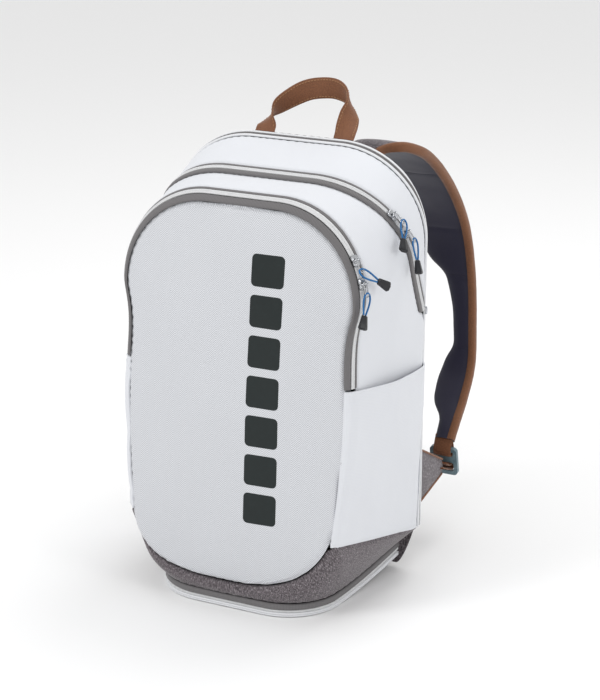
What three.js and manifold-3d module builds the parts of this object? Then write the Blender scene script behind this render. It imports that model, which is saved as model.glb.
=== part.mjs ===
// A racket backpack: sewn panels over foam boards, three zipped compartments, two slot pockets, padded straps.
// Millimetres, +Z up, the front faces -Y and the wearer's side faces +Y. The bag stands on its base at z = 0.
import * as THREE from "three";
import { mergeVertices } from "three/addons/utils/BufferGeometryUtils.js";
import Module from "manifold-3d";

const wasm = await Module();
wasm.setup();

// Driving dimensions
const HEIGHT = 498; // base to the rear seam
const FRONT_TOP = 452; // top of the front panel
const MAIN_TOP = 470; // top of the main zip
const CORNER = 100; // radius of the arch's two shoulders
const BACK_Y = 85; // wearer's face of the bag, before its pads
const FRONT_FOOT_Y = -115;
const FRONT_TOP_Y = -83; // the front leans back by this much at its top
const REAR_SEAM_Y = 50; // rear seam at the top of the arch
const REAR_SEAM_RUN = 25; // the rear seam runs back by this much on its way down
const MAIN_ZIP_Y = -15; // main zip at the top of the arch
const MAIN_ZIP_SLOPE = 0.45; // the main zip runs back by this much for each mm it drops
const MAIN_ZIP_END = 318; // height where the main zip ends at each side
const LID_Z = 268; // height of the line that the lid and the front flap fold about
const FABRIC = 2; // thickness of a lined fabric panel
const GAP = 0.6; // clearance between neighbouring panels
const ZIP_WIDTH = 10; // chain and tape together
const CROWN = 13; // how far the filled front panel bulges
const WEBBING = 2.4;
const FRAME_SHIFT_Y = -76.4; // brings the middle of the whole object, straps included, to y = 0

// Outlines of the bag, seen from the front, at shares of the depth from front to back
const STATIONS = [
  { share: 0, halfWidth: 140.5, top: FRONT_TOP, foot: 116, waist: 6.5 },
  { share: 0.1, halfWidth: 144.5, top: FRONT_TOP + 9, foot: 119, waist: 6.5 },
  { share: 0.35, halfWidth: 150.5, top: MAIN_TOP - 5, foot: 128, waist: 3 },
  { share: 0.45, halfWidth: 152.5, top: MAIN_TOP + 4, foot: 131, waist: 2 },
  { share: 0.83, halfWidth: 154, top: HEIGHT, foot: 144, waist: 0 },
  { share: 1, halfWidth: 142, top: HEIGHT - 12, foot: 144, waist: 0 },
];
const WAIST_DROP = 0.14; // where the cloth hangs slackest, as a share of the way from the shoulder to the foot

const lerp = THREE.MathUtils.lerp;
const clamp = THREE.MathUtils.clamp;
const vec = (x, y, z) => new THREE.Vector3(x, y, z);

const bag = new THREE.Group();
bag.position.y = FRAME_SHIFT_Y;

const COLOURS = {
  white: [0xdfe1e5, 0.7, 0],
  grey: [0x6c686a, 0.7, 0],
  melange: [0x69615f, 0.9, 0],
  navy: [0x2a2838, 0.65, 0],
  tan: [0x9b643c, 0.8, 0],
  lining: [0x8d8f94, 0.85, 0],
  foam: [0x303036, 0.95, 0],
  steel: [0xc9ccd0, 0.25, 1],
  cord: [0x195fa5, 0.7, 0],
  black: [0x28292e, 0.5, 0],
  slate: [0x647d87, 0.45, 0],
};

function add(name, geometry, colour, parent = bag) {
  const [color, roughness, metalness] = COLOURS[colour];
  const mesh = new THREE.Mesh(geometry, new THREE.MeshStandardMaterial({ color, roughness, metalness }));
  mesh.name = name;
  parent.add(mesh);
  return mesh;
}

// Geometry helpers

/** A closed solid from two grids of points: its outer and inner sheets, each grid[row][column]. */
function solidBetween(outer, inner) {
  const rows = outer.length;
  const columns = outer[0].length;
  const points = [...outer.flat(), ...inner.flat()];
  const at = (layer, row, column) => layer * rows * columns + row * columns + column;
  const index = [];
  const quad = (a, b, c, d) => index.push(a, b, c, a, c, d);
  for (let row = 0; row < rows - 1; row++) {
    for (let column = 0; column < columns - 1; column++) {
      quad(at(0, row, column), at(0, row, column + 1), at(0, row + 1, column + 1), at(0, row + 1, column));
      quad(at(1, row, column), at(1, row + 1, column), at(1, row + 1, column + 1), at(1, row, column + 1));
    }
  }
  for (let column = 0; column < columns - 1; column++) {
    const last = rows - 1;
    quad(at(0, 0, column), at(1, 0, column), at(1, 0, column + 1), at(0, 0, column + 1));
    quad(at(0, last, column), at(0, last, column + 1), at(1, last, column + 1), at(1, last, column));
  }
  for (let row = 0; row < rows - 1; row++) {
    const last = columns - 1;
    quad(at(0, row, 0), at(0, row + 1, 0), at(1, row + 1, 0), at(1, row, 0));
    quad(at(0, row, last), at(1, row, last), at(1, row + 1, last), at(0, row + 1, last));
  }
  const volume = index.reduce((sum, corner, i) => {
    if (i % 3) return sum;
    const [a, b, c] = [points[corner], points[index[i + 1]], points[index[i + 2]]];
    return sum + a.dot(b.clone().cross(c));
  }, 0);
  if (volume < 0) index.reverse();
  return new THREE.BufferGeometry().setFromPoints(points).setIndex(index);
}

/** A panel of even thickness: surface(a, b) is its outer face for a and b in 0..1, and it thickens inward. */
function panel(surface, thickness, columns, rows, inside = vec(0, 0, 240)) {
  const STEP = 1e-3;
  const normalAt = (a, b) => {
    const along = surface(Math.min(a + STEP, 1), b).sub(surface(Math.max(a - STEP, 0), b));
    const up = surface(a, Math.min(b + STEP, 1)).sub(surface(a, Math.max(b - STEP, 0)));
    return along.cross(up).normalize();
  };
  const outward = normalAt(0.5, 0.5).dot(surface(0.5, 0.5).sub(inside)) > 0 ? 1 : -1;
  const outer = [];
  const inner = [];
  for (let row = 0; row <= rows; row++) {
    const shares = Array.from({ length: columns + 1 }, (_, column) => [column / columns, row / rows]);
    outer.push(shares.map(([a, b]) => surface(a, b)));
    inner.push(shares.map(([a, b]) => surface(a, b).addScaledVector(normalAt(a, b), -thickness * outward)));
  }
  return solidBetween(outer, inner);
}

/** A flat strap along a curve: centre(t) and across(t) for t in 0..1, with its width and thickness. */
function ribbon(centre, across, width, thickness, steps) {
  const STEP = 1e-3;
  const outer = [];
  const inner = [];
  for (let i = 0; i <= steps; i++) {
    const t = i / steps;
    const along = centre(Math.min(t + STEP, 1)).sub(centre(Math.max(t - STEP, 0)));
    const side = across(t).normalize();
    const normal = along.cross(side).normalize();
    const corner = (sideways, up) =>
      centre(t).addScaledVector(side, (sideways * width(t)) / 2).addScaledVector(normal, (up * thickness) / 2);
    outer.push([corner(-1, 1), corner(1, 1)]);
    inner.push([corner(-1, -1), corner(1, -1)]);
  }
  return solidBetween(outer, inner);
}

/** A tube along a curve. */
function tube(curve, diameter, steps, sides) {
  const section = new THREE.Shape(
    Array.from({ length: sides }, (_, i) => {
      const angle = (i / sides) * 2 * Math.PI;
      return new THREE.Vector2(Math.cos(angle), Math.sin(angle)).multiplyScalar(diameter / 2);
    }),
  );
  return new THREE.ExtrudeGeometry(section, { extrudePath: curve, steps, curveSegments: 1 });
}

function solidOf(geometry) {
  const plain = geometry.clone();
  plain.deleteAttribute("normal");
  plain.deleteAttribute("uv");
  const merged = mergeVertices(plain, 1e-4);
  return new wasm.Manifold(
    new wasm.Mesh({
      numProp: 3,
      vertProperties: new Float32Array(merged.attributes.position.array),
      triVerts: new Uint32Array(merged.index.array),
    }),
  );
}

function geometryOf(solid) {
  const mesh = solid.getMesh();
  return new THREE.BufferGeometry()
    .setAttribute("position", new THREE.BufferAttribute(new Float32Array(mesh.vertProperties), 3))
    .setIndex(new THREE.BufferAttribute(new Uint32Array(mesh.triVerts), 1));
}

const join = (first, ...others) =>
  geometryOf(others.reduce((whole, other) => whole.add(solidOf(other)), solidOf(first)));

/** A curve through points given as [x, y, z]. */
const through = (points) =>
  new THREE.CatmullRomCurve3(points.map((point) => vec(...point)), false, "centripetal");

/** Straight-line interpolation in a list of [key, value], held at both ends. */
function table(list, key) {
  const next = list.findIndex(([k]) => k >= key);
  if (next === 0) return list[0][1];
  if (next < 0) return list[list.length - 1][1];
  const [k0, v0] = list[next - 1];
  const [k1, v1] = list[next];
  return lerp(v0, v1, (key - k0) / (k1 - k0));
}

// The bag's skin

const frontY = (z) => lerp(FRONT_FOOT_Y, FRONT_TOP_Y, clamp((z - 40) / (FRONT_TOP - 40), 0, 1));
const mainZipY = (z) => MAIN_ZIP_Y + MAIN_ZIP_SLOPE * (MAIN_TOP - z);
const rearSeamY = (z) => REAR_SEAM_Y + REAR_SEAM_RUN * (1 - (z / HEIGHT) ** 2);

/** The outline at a share of the depth. */
function stationAt(share) {
  const part = (key) => table(STATIONS.map((station) => [station.share, station[key]]), share);
  return { halfWidth: part("halfWidth"), top: part("top"), foot: part("foot"), waist: part("waist") };
}

/** Half the width under the shoulders, where drop runs from 0 at the shoulder to 1 at the foot. */
function sideAt({ halfWidth, foot, waist }, drop) {
  const slack = drop / WAIST_DROP;
  return halfWidth - (halfWidth - foot) * drop ** 2 - waist * slack ** 2 * Math.exp(2 - 2 * slack);
}

// Along an outline, the place runs from 0 at the top centre to 1 at the right foot, and to -1 at the left foot.
const FLAT_END = 0.15;
const ARC_END = 0.55;

function outlinePoint(place, share) {
  const station = stationAt(share);
  const { halfWidth, top } = station;
  const run = Math.abs(place);
  const shoulder = halfWidth - CORNER;
  let x;
  let z;
  if (run < FLAT_END) {
    x = (shoulder * run) / FLAT_END;
    z = top;
  } else if (run < ARC_END) {
    const turn = (((run - FLAT_END) / (ARC_END - FLAT_END)) * Math.PI) / 2;
    x = shoulder + CORNER * Math.sin(turn);
    z = top - CORNER + CORNER * Math.cos(turn);
  } else {
    const drop = (run - ARC_END) / (1 - ARC_END);
    x = sideAt(station, drop);
    z = (top - CORNER) * (1 - drop);
  }
  return { x: Math.sign(place) * x, z };
}

/** The skin at a place along the outline, at the depth that line(z) gives. */
function skin(place, line) {
  let share = 0.5;
  let point;
  for (let i = 0; i < 8; i++) {
    point = outlinePoint(place, share);
    share = clamp((line(point.z) - frontY(point.z)) / (BACK_Y - frontY(point.z)), 0, 1);
  }
  return vec(point.x, line(point.z), point.z);
}

/** Half the width of the skin at a depth and a height. */
function skinHalfWidth(y, z) {
  const share = clamp((y - frontY(z)) / (BACK_Y - frontY(z)), 0, 1);
  const station = stationAt(share);
  const { halfWidth, top } = station;
  const shoulderZ = top - CORNER;
  if (z > shoulderZ) return halfWidth - CORNER + Math.sqrt(Math.max(0, CORNER ** 2 - (z - shoulderZ) ** 2));
  return sideAt(station, 1 - z / shoulderZ);
}

/** The place on the right where the skin along a line meets a cut: a height given for each depth. */
function placeAtCut(line, cut) {
  let high = FLAT_END;
  let low = 1;
  for (let i = 0; i < 40; i++) {
    const middle = (high + low) / 2;
    const point = skin(middle, line);
    if (point.z > cut(point.y)) high = middle;
    else low = middle;
  }
  return high;
}

/** A strip of the arch from its left end over the top to its right end, between two depth lines. */
function archStrip(nearLine, farLine, cut, thickness, columns, rows = 1) {
  const lineAt = (b) => (z) => lerp(nearLine(z), farLine(z), b);
  const ends = new Map();
  const endAt = (b) => {
    if (!ends.has(b)) ends.set(b, placeAtCut(lineAt(b), cut));
    return ends.get(b);
  };
  return panel((a, b) => skin(endAt(b) * (2 * a - 1), lineAt(b)), thickness, columns, rows);
}

// Cut lines on the sides
const LID_CUT_SLOPE = 1.38;
const LID_CUT_START_Y = -82;
const lidCut = (y) => LID_Z + Math.max(0, y - LID_CUT_START_Y) * LID_CUT_SLOPE;
const level = (z) => () => z;
const offset = (line, by) => (z) => line(z) + by;

// Front pocket: its panel's lower part, the flap that opens, and the zip between flap and gusset

const PANEL_BOTTOM = 31;
const PANEL_BEND = 122; // height where the panel's sides begin to turn in towards its foot
const PANEL_ROUNDNESS = 2.6; // power of the curve of the panel's foot; 2 would be an ellipse
const FRONT_ZIP_NEAR = 3.6; // behind the front face
const FRONT_ZIP_FAR = FRONT_ZIP_NEAR + ZIP_WIDTH;

function frontHalfWidth(z) {
  const below = clamp((PANEL_BEND - z) / (PANEL_BEND - PANEL_BOTTOM), 0, 0.985);
  return skinHalfWidth(frontY(z), z) * (1 - below ** PANEL_ROUNDNESS) ** (1 / PANEL_ROUNDNESS);
}

function frontFace(across, z, bulge) {
  const x = across * frontHalfWidth(z);
  const upright = Math.sin(Math.PI * clamp((z - PANEL_BOTTOM) / (FRONT_TOP - PANEL_BOTTOM), 0, 1)) ** 0.5;
  return vec(x, frontY(z) - bulge * upright * (1 - across ** 2), z);
}

const CORNER_ROWS = 6;
const archHeights = (top, from) => [
  from,
  lerp(from, top - CORNER, 0.5),
  ...Array.from(
    { length: CORNER_ROWS + 1 },
    (_, i) => top - CORNER + CORNER * Math.sin(((i / CORNER_ROWS) * Math.PI) / 2),
  ),
];

/** A sheet of the front, row by row at the given heights. */
function frontSheet(heights, bulge, back, thickness, inset) {
  const columns = 10;
  const sheet = (behind) =>
    heights.map((z) =>
      Array.from({ length: columns + 1 }, (_, i) => {
        const across = (2 * i) / columns - 1;
        const point = frontFace(across, z, bulge);
        point.x -= Math.sign(across) * inset * Math.abs(across);
        point.y += behind;
        return point;
      }),
    );
  return solidBetween(sheet(back), sheet(back + thickness));
}

function addFrontPocket() {
  const lowerHeights = [32.5, 35, 40, 48, 59, 74, 92, 116, 150, 190, 230, LID_Z - GAP / 2];
  const flapHeights = archHeights(FRONT_TOP, LID_Z + GAP / 2);
  add("front_panel_lower", frontSheet(lowerHeights, CROWN, 0, FABRIC, 0), "white");
  add("front_flap", frontSheet(flapHeights, CROWN, 0, FABRIC, 0), "white");
  const wallBack = 9; // the pocket's inner wall stands this far behind the front face
  const wallInset = 5;
  const lowWall = [92, 140, 195, LID_Z - 2];
  const highWall = archHeights(FRONT_TOP - wallInset, LID_Z + 2);
  add("pocket_wall_lower", frontSheet(lowWall, 0, wallBack, 1.2, wallInset), "lining");
  add("pocket_wall_upper", frontSheet(highWall, 0, wallBack, 1.2, wallInset), "lining");
  const near = offset(frontY, FRONT_ZIP_NEAR);
  const far = offset(frontY, FRONT_ZIP_FAR);
  add("front_zip", archStrip(near, far, level(LID_Z + GAP / 2), FABRIC, 32), "grey");
}

// Main compartment: the lid's gusset, the main zip, and the gusset behind it

function addMainCompartment() {
  const gussetNear = offset(frontY, FRONT_ZIP_FAR + GAP);
  const gussetFar = offset(mainZipY, -ZIP_WIDTH / 2 - GAP);
  add("lid_gusset", archStrip(gussetNear, gussetFar, (y) => lidCut(y) + 1, FABRIC, 28, 4), "white");
  const zipNear = offset(mainZipY, -ZIP_WIDTH / 2);
  const zipFar = offset(mainZipY, ZIP_WIDTH / 2);
  add("main_zip", archStrip(zipNear, zipFar, level(MAIN_ZIP_END), FABRIC, 36), "grey");
  const rearNear = offset(mainZipY, ZIP_WIDTH / 2 + GAP);
  const rearFar = offset(rearSeamY, -5);
  add("top_gusset", archStrip(rearNear, rearFar, level(MAIN_ZIP_END + 12), FABRIC, 36, 3), "white");
  add("rear_zip", archStrip(offset(rearSeamY, -3.4), offset(rearSeamY, 3.4), level(60), FABRIC, 40), "grey");
}

// Sides below the lid and the main zip, the gusset behind the rear seam, and the slot pockets

const SIDE_FOOT = [
  [-112, 93],
  [8, 68],
  [80, 54],
];
const POCKET_MOUTH = [
  [-100, 265],
  [66, 254],
];
const sideFootZ = (y) => table(SIDE_FOOT, y);

function sideTopZ(y) {
  const zipFront = MAIN_TOP - (y + ZIP_WIDTH / 2 + 3 * GAP - MAIN_ZIP_Y) / MAIN_ZIP_SLOPE;
  return Math.min(lidCut(y), zipFront > MAIN_ZIP_END + 14 ? zipFront : MAIN_ZIP_END - 2);
}

/** The side's skin at a share of its depth and height, moved out by a bulge. */
function sidePoint(side, y, z, bulge = 0) {
  return vec(side * (skinHalfWidth(y, z) + bulge), y, z);
}

function sidePanel(side) {
  const backY = (z) => rearSeamY(z) - 4;
  const nearY = (z) => frontY(z) + (z > LID_Z - 12 ? FRONT_ZIP_FAR + GAP : FRONT_ZIP_NEAR);
  const columnEnds = (a) => {
    let high = LID_Z;
    let low = 80;
    for (let i = 0; i < 12; i++) {
      high = sideTopZ(lerp(nearY(high), backY(high), a));
      low = sideFootZ(lerp(nearY(low), backY(low), a)) + GAP;
    }
    return [low, high];
  };
  return panel(
    (a, b) => {
      const z = lerp(...columnEnds(a), b);
      return sidePoint(side, lerp(nearY(z), backY(z), a), z);
    },
    FABRIC,
    14,
    6,
  );
}

/** A slot pocket: a loose outer layer sewn at its sides and foot, bulging at its open mouth. */
function sidePocket(side) {
  const nearY = -100;
  const farY = 66;
  const seat = 0.5;
  return panel(
    (a, b) => {
      const y = lerp(nearY, farY, a);
      const z = lerp(sideFootZ(y) + 3, table(POCKET_MOUTH, y), b);
      const bulge = seat + FABRIC + 11 * Math.sin(Math.PI * a) ** 0.7 * b ** 0.6;
      return sidePoint(side, y, z, bulge);
    },
    FABRIC - 0.4,
    10,
    6,
  );
}

function addSides() {
  for (const [side, name] of [[-1, "left"], [1, "right"]]) {
    add(`side_${name}`, sidePanel(side), "white");
    add(`side_pocket_${name}`, sidePocket(side), "white");
  }
  const backGusset = archStrip(offset(rearSeamY, 5), level(BACK_Y - 4), level(60), FABRIC, 36);
  add("back_gusset", backGusset, "melange");
}

// Base: melange band, zip round the foot, tray, sloping heel and board

const BASE_FRONT_Y = -112;
const BASE_BACK_Y = 74;
const BASE_HALF_WIDTH = 104;
const BASE_CORNER = 62;
const TRAY_TOP = 5;
const BASE_ZIP_HEIGHT = 6;
const BASE_SPREAD = 14; // the base is this much wider on each side at its back
const BASE_RISE = 16; // the base zip climbs by this much towards the back
const BAND_CORNER_TURN = THREE.MathUtils.degToRad(68); // how far the band follows the panel's foot round

/** The foot ring, from -1 at the left rear round the front to 1 at the right rear. */
function footRing(turn, z, inset = 0) {
  const run = Math.abs(turn);
  const side = Math.sign(turn) || 1;
  const corner = BASE_CORNER - inset;
  const centreX = BASE_HALF_WIDTH - BASE_CORNER;
  const centreY = BASE_FRONT_Y + BASE_CORNER;
  if (run < 0.3) return vec((side * centreX * run) / 0.3, BASE_FRONT_Y + inset, z);
  if (run < 0.6) {
    const angle = (((run - 0.3) / 0.3) * Math.PI) / 2;
    return vec(side * (centreX + corner * Math.sin(angle)), centreY - corner * Math.cos(angle), z);
  }
  const back = (run - 0.6) / 0.4;
  return vec(side * (BASE_HALF_WIDTH + BASE_SPREAD * back - inset), lerp(centreY, BASE_BACK_Y, back), z);
}

const footRise = (turn) => BASE_RISE * Math.max(0, (Math.abs(turn) - 0.6) / 0.4) ** 1.5;

/** The band's upper edge, along the foot of the front panel and of the sides. */
function bandTop(turn) {
  const run = Math.abs(turn);
  const side = Math.sign(turn) || 1;
  const below = 2; // clear of the panels above
  if (run < 0.6) {
    const angle = (run / 0.6) * BAND_CORNER_TURN;
    const z = PANEL_BEND - (PANEL_BEND - PANEL_BOTTOM) * Math.cos(angle) ** (2 / PANEL_ROUNDNESS);
    const out = skinHalfWidth(frontY(z), z) * Math.sin(angle) ** (2 / PANEL_ROUNDNESS) + below * Math.sin(angle);
    return vec(side * out, frontY(z) + 6 * Math.sin(angle), z - below * Math.cos(angle));
  }
  const back = (run - 0.6) / 0.4;
  const y = lerp(frontY(88) + 6, rearSeamY(60) - 4, back);
  return sidePoint(side, y, sideFootZ(y) - below);
}

/** A flat plate in the shape of the foot ring, moved in by an inset. */
function footPlate(inset, thickness) {
  const ring = Array.from({ length: 33 }, (_, i) => footRing(i / 16 - 1, 0, inset));
  const outline = ring.map(({ x, y }) => new THREE.Vector2(x, Math.min(y, BASE_BACK_Y - inset)));
  return new THREE.ExtrudeGeometry(new THREE.Shape(outline), { depth: thickness, bevelEnabled: false });
}

function addBase() {
  const zipFoot = TRAY_TOP + GAP;
  const zipTop = zipFoot + BASE_ZIP_HEIGHT;
  const band = panel(
    (a, b) => {
      const turn = 2 * a - 1;
      const foot = footRing(turn, zipTop + GAP + footRise(turn));
      const bulge = 5 * Math.sin(Math.PI * b) * Math.min(1, 3 * (1 - Math.abs(turn)));
      const point = foot.clone().lerp(bandTop(turn), b);
      const out = vec(point.x, point.y, 0).normalize();
      return point.addScaledVector(out, bulge);
    },
    FABRIC,
    40,
    3,
  );
  add("base_band", band, "melange");
  const zip = panel(
    (a, b) => {
      const turn = 2 * a - 1;
      return footRing(turn, lerp(zipFoot, zipTop, b) + footRise(turn), -1);
    },
    FABRIC + 1,
    40,
    1,
  );
  add("base_zip", zip, "grey");
  add("base_tray", footPlate(1, TRAY_TOP), "white");
  add("base_board", footPlate(6, 3).translate(0, 0, TRAY_TOP + GAP), "foam");
  const heel = panel(
    (a, b) => {
      const across = 2 * a - 1;
      const y = lerp(BASE_BACK_Y + 1, BACK_Y - 4, b ** 0.8);
      return vec(across * lerp(114, 136, b), y, lerp(4, 56, b ** 1.6));
    },
    FABRIC,
    8,
    6,
    vec(0, 0, 200),
  );
  add("base_heel", heel, "melange");
}

// Back: board, panel, pads, and the divider in front of the racket compartment

/** A flat plate facing the wearer, shaped as the outline at a share of the depth. */
function outlinePlate(share, inset, foot, frontFaceY, thickness) {
  const last = 0.98;
  const steps = 28;
  const points = [];
  for (let i = 0; i <= steps; i++) {
    const { x, z } = outlinePoint(last * ((2 * i) / steps - 1), share);
    if (z < foot) continue;
    const middle = HEIGHT / 2;
    const top = stationAt(share).top;
    const shrunkZ = middle + ((z - middle) * (top - middle - inset)) / (top - middle);
    points.push(new THREE.Vector2(x * (1 - inset / 150), shrunkZ));
  }
  const { x } = points[points.length - 1];
  points.push(new THREE.Vector2(x, foot), new THREE.Vector2(-x, foot));
  const shape = new THREE.Shape(points);
  const geometry = new THREE.ExtrudeGeometry(shape, { depth: thickness, bevelEnabled: false });
  return geometry.rotateX(Math.PI / 2).translate(0, frontFaceY + thickness, 0);
}

/** A long back pad, crowned towards the wearer. */
function backPad(side) {
  return panel(
    (a, b) => {
      const edge = Math.sin(Math.PI * a) ** 0.5 * Math.sin(Math.PI * clamp(b, 0.02, 0.98)) ** 0.3;
      return vec(side * lerp(16, 100, a), BACK_Y + 4 + 9 * edge, lerp(100, 420, b));
    },
    3,
    6,
    8,
    vec(side * 58, 0, 260),
  );
}

function addBack() {
  add("divider", outlinePlate(0.83, 9, 70, 42, 3), "lining");
  add("back_board", outlinePlate(1, 12, 70, 77, 2), "foam");
  add("back_panel", outlinePlate(1, 0, 58, BACK_Y - 3, 2.4), "melange");
  add("back_pad_left", backPad(-1), "foam");
  add("back_pad_right", backPad(1), "foam");
}

// Carry handle: one length of webbing, sewn into the rear seam at both feet

const HANDLE_FOOT = vec(0, 64, HEIGHT + 4);
const HANDLE_LEAN = THREE.MathUtils.degToRad(38);
const HANDLE_WIDTH = 25;
const HANDLE_ARCH = [[-50, 0], [-58, 26], [-44, 53], [0, 66], [44, 53], [58, 26], [50, 0]];

function addHandle() {
  const upward = vec(0, Math.sin(HANDLE_LEAN), Math.cos(HANDLE_LEAN));
  const crossways = vec(0, Math.cos(HANDLE_LEAN), -Math.sin(HANDLE_LEAN));
  const place = ([x, height]) => HANDLE_FOOT.clone().addScaledVector(upward, height).setX(x).toArray();
  const curve = through(HANDLE_ARCH.map(place));
  // The feet lie flat in the seam, and the webbing turns a quarter on its way to the grip.
  const turned = (t) => THREE.MathUtils.smoothstep(Math.min(t, 1 - t), 0.02, 0.34);
  const across = (t) => vec(t < 0.5 ? 1 : -1, 0, 0).lerp(crossways, turned(t));
  add("carry_handle", ribbon((t) => curve.getPoint(t), across, () => HANDLE_WIDTH, WEBBING + 0.6, 28), "tan");
}

// Shoulder straps

const STRAP_EDGE = [
  [86, 93, 480],
  [104, 104, 483],
  [114, 126, 476],
  [117, 158, 460],
  [120, 212, 415],
  [123, 248, 364],
  [126, 263, 305],
  [129, 264, 240],
  [132, 256, 192],
  [134, 229, 158],
  [135, 205, 136],
  [135, 191, 120],
];
// Width of the strap's pad at shares of its length
const STRAP_WIDTH = [
  [0, 44],
  [0.06, 62],
  [0.14, 70],
  [0.35, 72],
  [0.47, 66],
  [0.54, 56],
  [0.575, 36],
  [0.66, 28],
  [0.757, 27],
  [0.785, 36],
  [0.84, 42],
  [0.9, 40],
  [0.945, 24],
  [1, 22],
];
const STRAP_PAD = 9;
const STRAP_COVER = 2.5;
const STRAP_WEBBING_X = 124;
const STRAP_WEBBING = 22; // width of the tab and of the adjuster webbing
const LOCK_TOP = vec(STRAP_WEBBING_X, 191, 110);
const LOCK_SIZE = vec(34, 36, 5); // width, height and thickness of the ladder lock
const LOCK_LEAN = THREE.MathUtils.degToRad(12);
const WING = { rootY: 91, rootX: 134, tipX: 129, tipY: 176, rootZ: [70, 145], tipZ: [82, 100] };

/** One layer of a strap, lifted off the pad's middle towards the outside of the loop. */
function strapLayer(side, lift, thickness) {
  const edge = through(STRAP_EDGE.map(([x, y, z]) => [side * x, y, z]));
  const steps = 40;
  const outer = [];
  const inner = [];
  for (let i = 0; i <= steps; i++) {
    const t = i / steps;
    const tangent = edge.getTangentAt(t);
    const normal = vec(0, -tangent.z, tangent.y).normalize();
    const corner = (across, up) =>
      edge
        .getPointAt(t)
        .addScaledVector(normal, lift + (up * thickness) / 2)
        .add(vec(-side * across * table(STRAP_WIDTH, t), 0, 0));
    outer.push([corner(0, 1), corner(1, 1)]);
    inner.push([corner(0, -1), corner(1, -1)]);
  }
  return solidBetween(outer, inner);
}

/** Flat webbing of the strap's width along points in the YZ plane. */
function strapWebbing(side, points) {
  const curve = through(points.map(([y, z]) => [side * STRAP_WEBBING_X, y, z]));
  return ribbon((t) => curve.getPoint(t), () => vec(1, 0, 0), () => STRAP_WEBBING, WEBBING, 8);
}

/** The ladder lock: a plate with a slot for the tab above and one for the adjuster webbing below. */
function ladderLock() {
  const { x: width, y: height, z: thickness } = LOCK_SIZE;
  const rounded = (halfWidth, low, high, radius, Kind) => {
    const outline = new Kind();
    outline.absarc(halfWidth - radius, high - radius, radius, 0, Math.PI / 2);
    outline.absarc(radius - halfWidth, high - radius, radius, Math.PI / 2, Math.PI);
    outline.absarc(radius - halfWidth, low + radius, radius, Math.PI, 1.5 * Math.PI);
    outline.absarc(halfWidth - radius, low + radius, radius, 1.5 * Math.PI, 2 * Math.PI);
    return outline;
  };
  const plate = rounded(width / 2, -height, 0, 5, THREE.Shape);
  const slotHalf = STRAP_WEBBING / 2 + 1.5;
  plate.holes.push(
    rounded(slotHalf, -11, -5, 1.5, THREE.Path),
    rounded(slotHalf, -31, -20, 1.5, THREE.Path),
  );
  const options = { depth: thickness, bevelEnabled: false, curveSegments: 2 };
  return new THREE.ExtrudeGeometry(plate, options).rotateX(Math.PI / 2).translate(0, thickness / 2, 0);
}

/** The fabric wing sewn to the bag's rear edge, which the adjuster webbing pulls on. */
function strapWing(side) {
  return panel(
    (a, b) => {
      const z = lerp(lerp(WING.rootZ[0], WING.tipZ[0], a), lerp(WING.rootZ[1], WING.tipZ[1], a), b);
      return vec(side * lerp(WING.rootX, WING.tipX, a), lerp(WING.rootY, WING.tipY, a), z);
    },
    3.5,
    6,
    4,
  );
}

function addStrap(side, name) {
  add(`strap_pad_${name}`, strapLayer(side, 0, STRAP_PAD), "navy");
  add(`strap_cover_${name}`, strapLayer(side, (STRAP_PAD + STRAP_COVER) / 2 + 0.3, STRAP_COVER), "melange");
  const anchor = new THREE.BoxGeometry(44, 4.5, 12).translate(side * 64, BACK_Y + 4, 468);
  add(`strap_anchor_${name}`, anchor, "tan");
  const tab = [[190.4, 118.6], [187.6, 112], [187.2, 106]];
  add(`strap_tab_${name}`, strapWebbing(side, tab), "tan");
  const lock = add(`ladder_lock_${name}`, ladderLock(), "slate");
  lock.position.set(side * LOCK_TOP.x, LOCK_TOP.y, LOCK_TOP.z);
  lock.rotation.x = LOCK_LEAN;
  const adjuster = [[193, 86], [184, 87], [WING.tipY + 1, 91]];
  add(`adjuster_webbing_${name}`, strapWebbing(side, adjuster), "tan");
  add(`strap_wing_${name}`, strapWing(side), "melange");
}

// Zip sliders: a body with a bridge, a wire pull through the bridge, a looped cord and a faceted tip.
// Each is built lying along +X, with the zip under it at z = 0.

const BRIDGE_Z = 6.4; // height of the bridge's middle, which the wire turns about
const WIRE = 1.5;
const WIRE_REACH = 14;
const CORD = 2;
const TIP_START = 33.5;
const TIP_LENGTH = 15;
const SLIDER_LIFT = 0.6;

function sliderBody() {
  const base = new THREE.BoxGeometry(12, 8, 3).translate(0, 0, 1.5);
  const arch = new THREE.Shape([[-4, 2], [4, 2], [4, 6], [3, 7.1], [-3, 7.1], [-4, 6]].map(([y, z]) => new THREE.Vector2(y, z)));
  arch.holes.push(new THREE.Path([[-2.4, 3], [-2.4, 5.7], [2.4, 5.7], [2.4, 3]].map(([y, z]) => new THREE.Vector2(y, z))));
  const bridge = new THREE.ExtrudeGeometry(arch, { depth: 2, bevelEnabled: false });
  bridge.applyMatrix4(new THREE.Matrix4().makeBasis(vec(0, 1, 0), vec(0, 0, 1), vec(1, 0, 0))).translate(-1, 0, 0);
  return join(base, bridge);
}

function wirePull() {
  const stadium = (radius, Kind) => {
    const outline = new Kind();
    outline.absarc(WIRE_REACH - 2.2, 0, radius, -Math.PI / 2, Math.PI / 2);
    outline.absarc(0, 0, radius, Math.PI / 2, 1.5 * Math.PI);
    return outline;
  };
  const shape = stadium(2.2 + WIRE / 2, THREE.Shape);
  shape.holes.push(stadium(2.2 - WIRE / 2, THREE.Path));
  const wire = new THREE.ExtrudeGeometry(shape, { depth: WIRE, bevelEnabled: false, curveSegments: 5 });
  return wire.rotateX(Math.PI / 2).translate(0, WIRE / 2, BRIDGE_Z);
}

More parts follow.
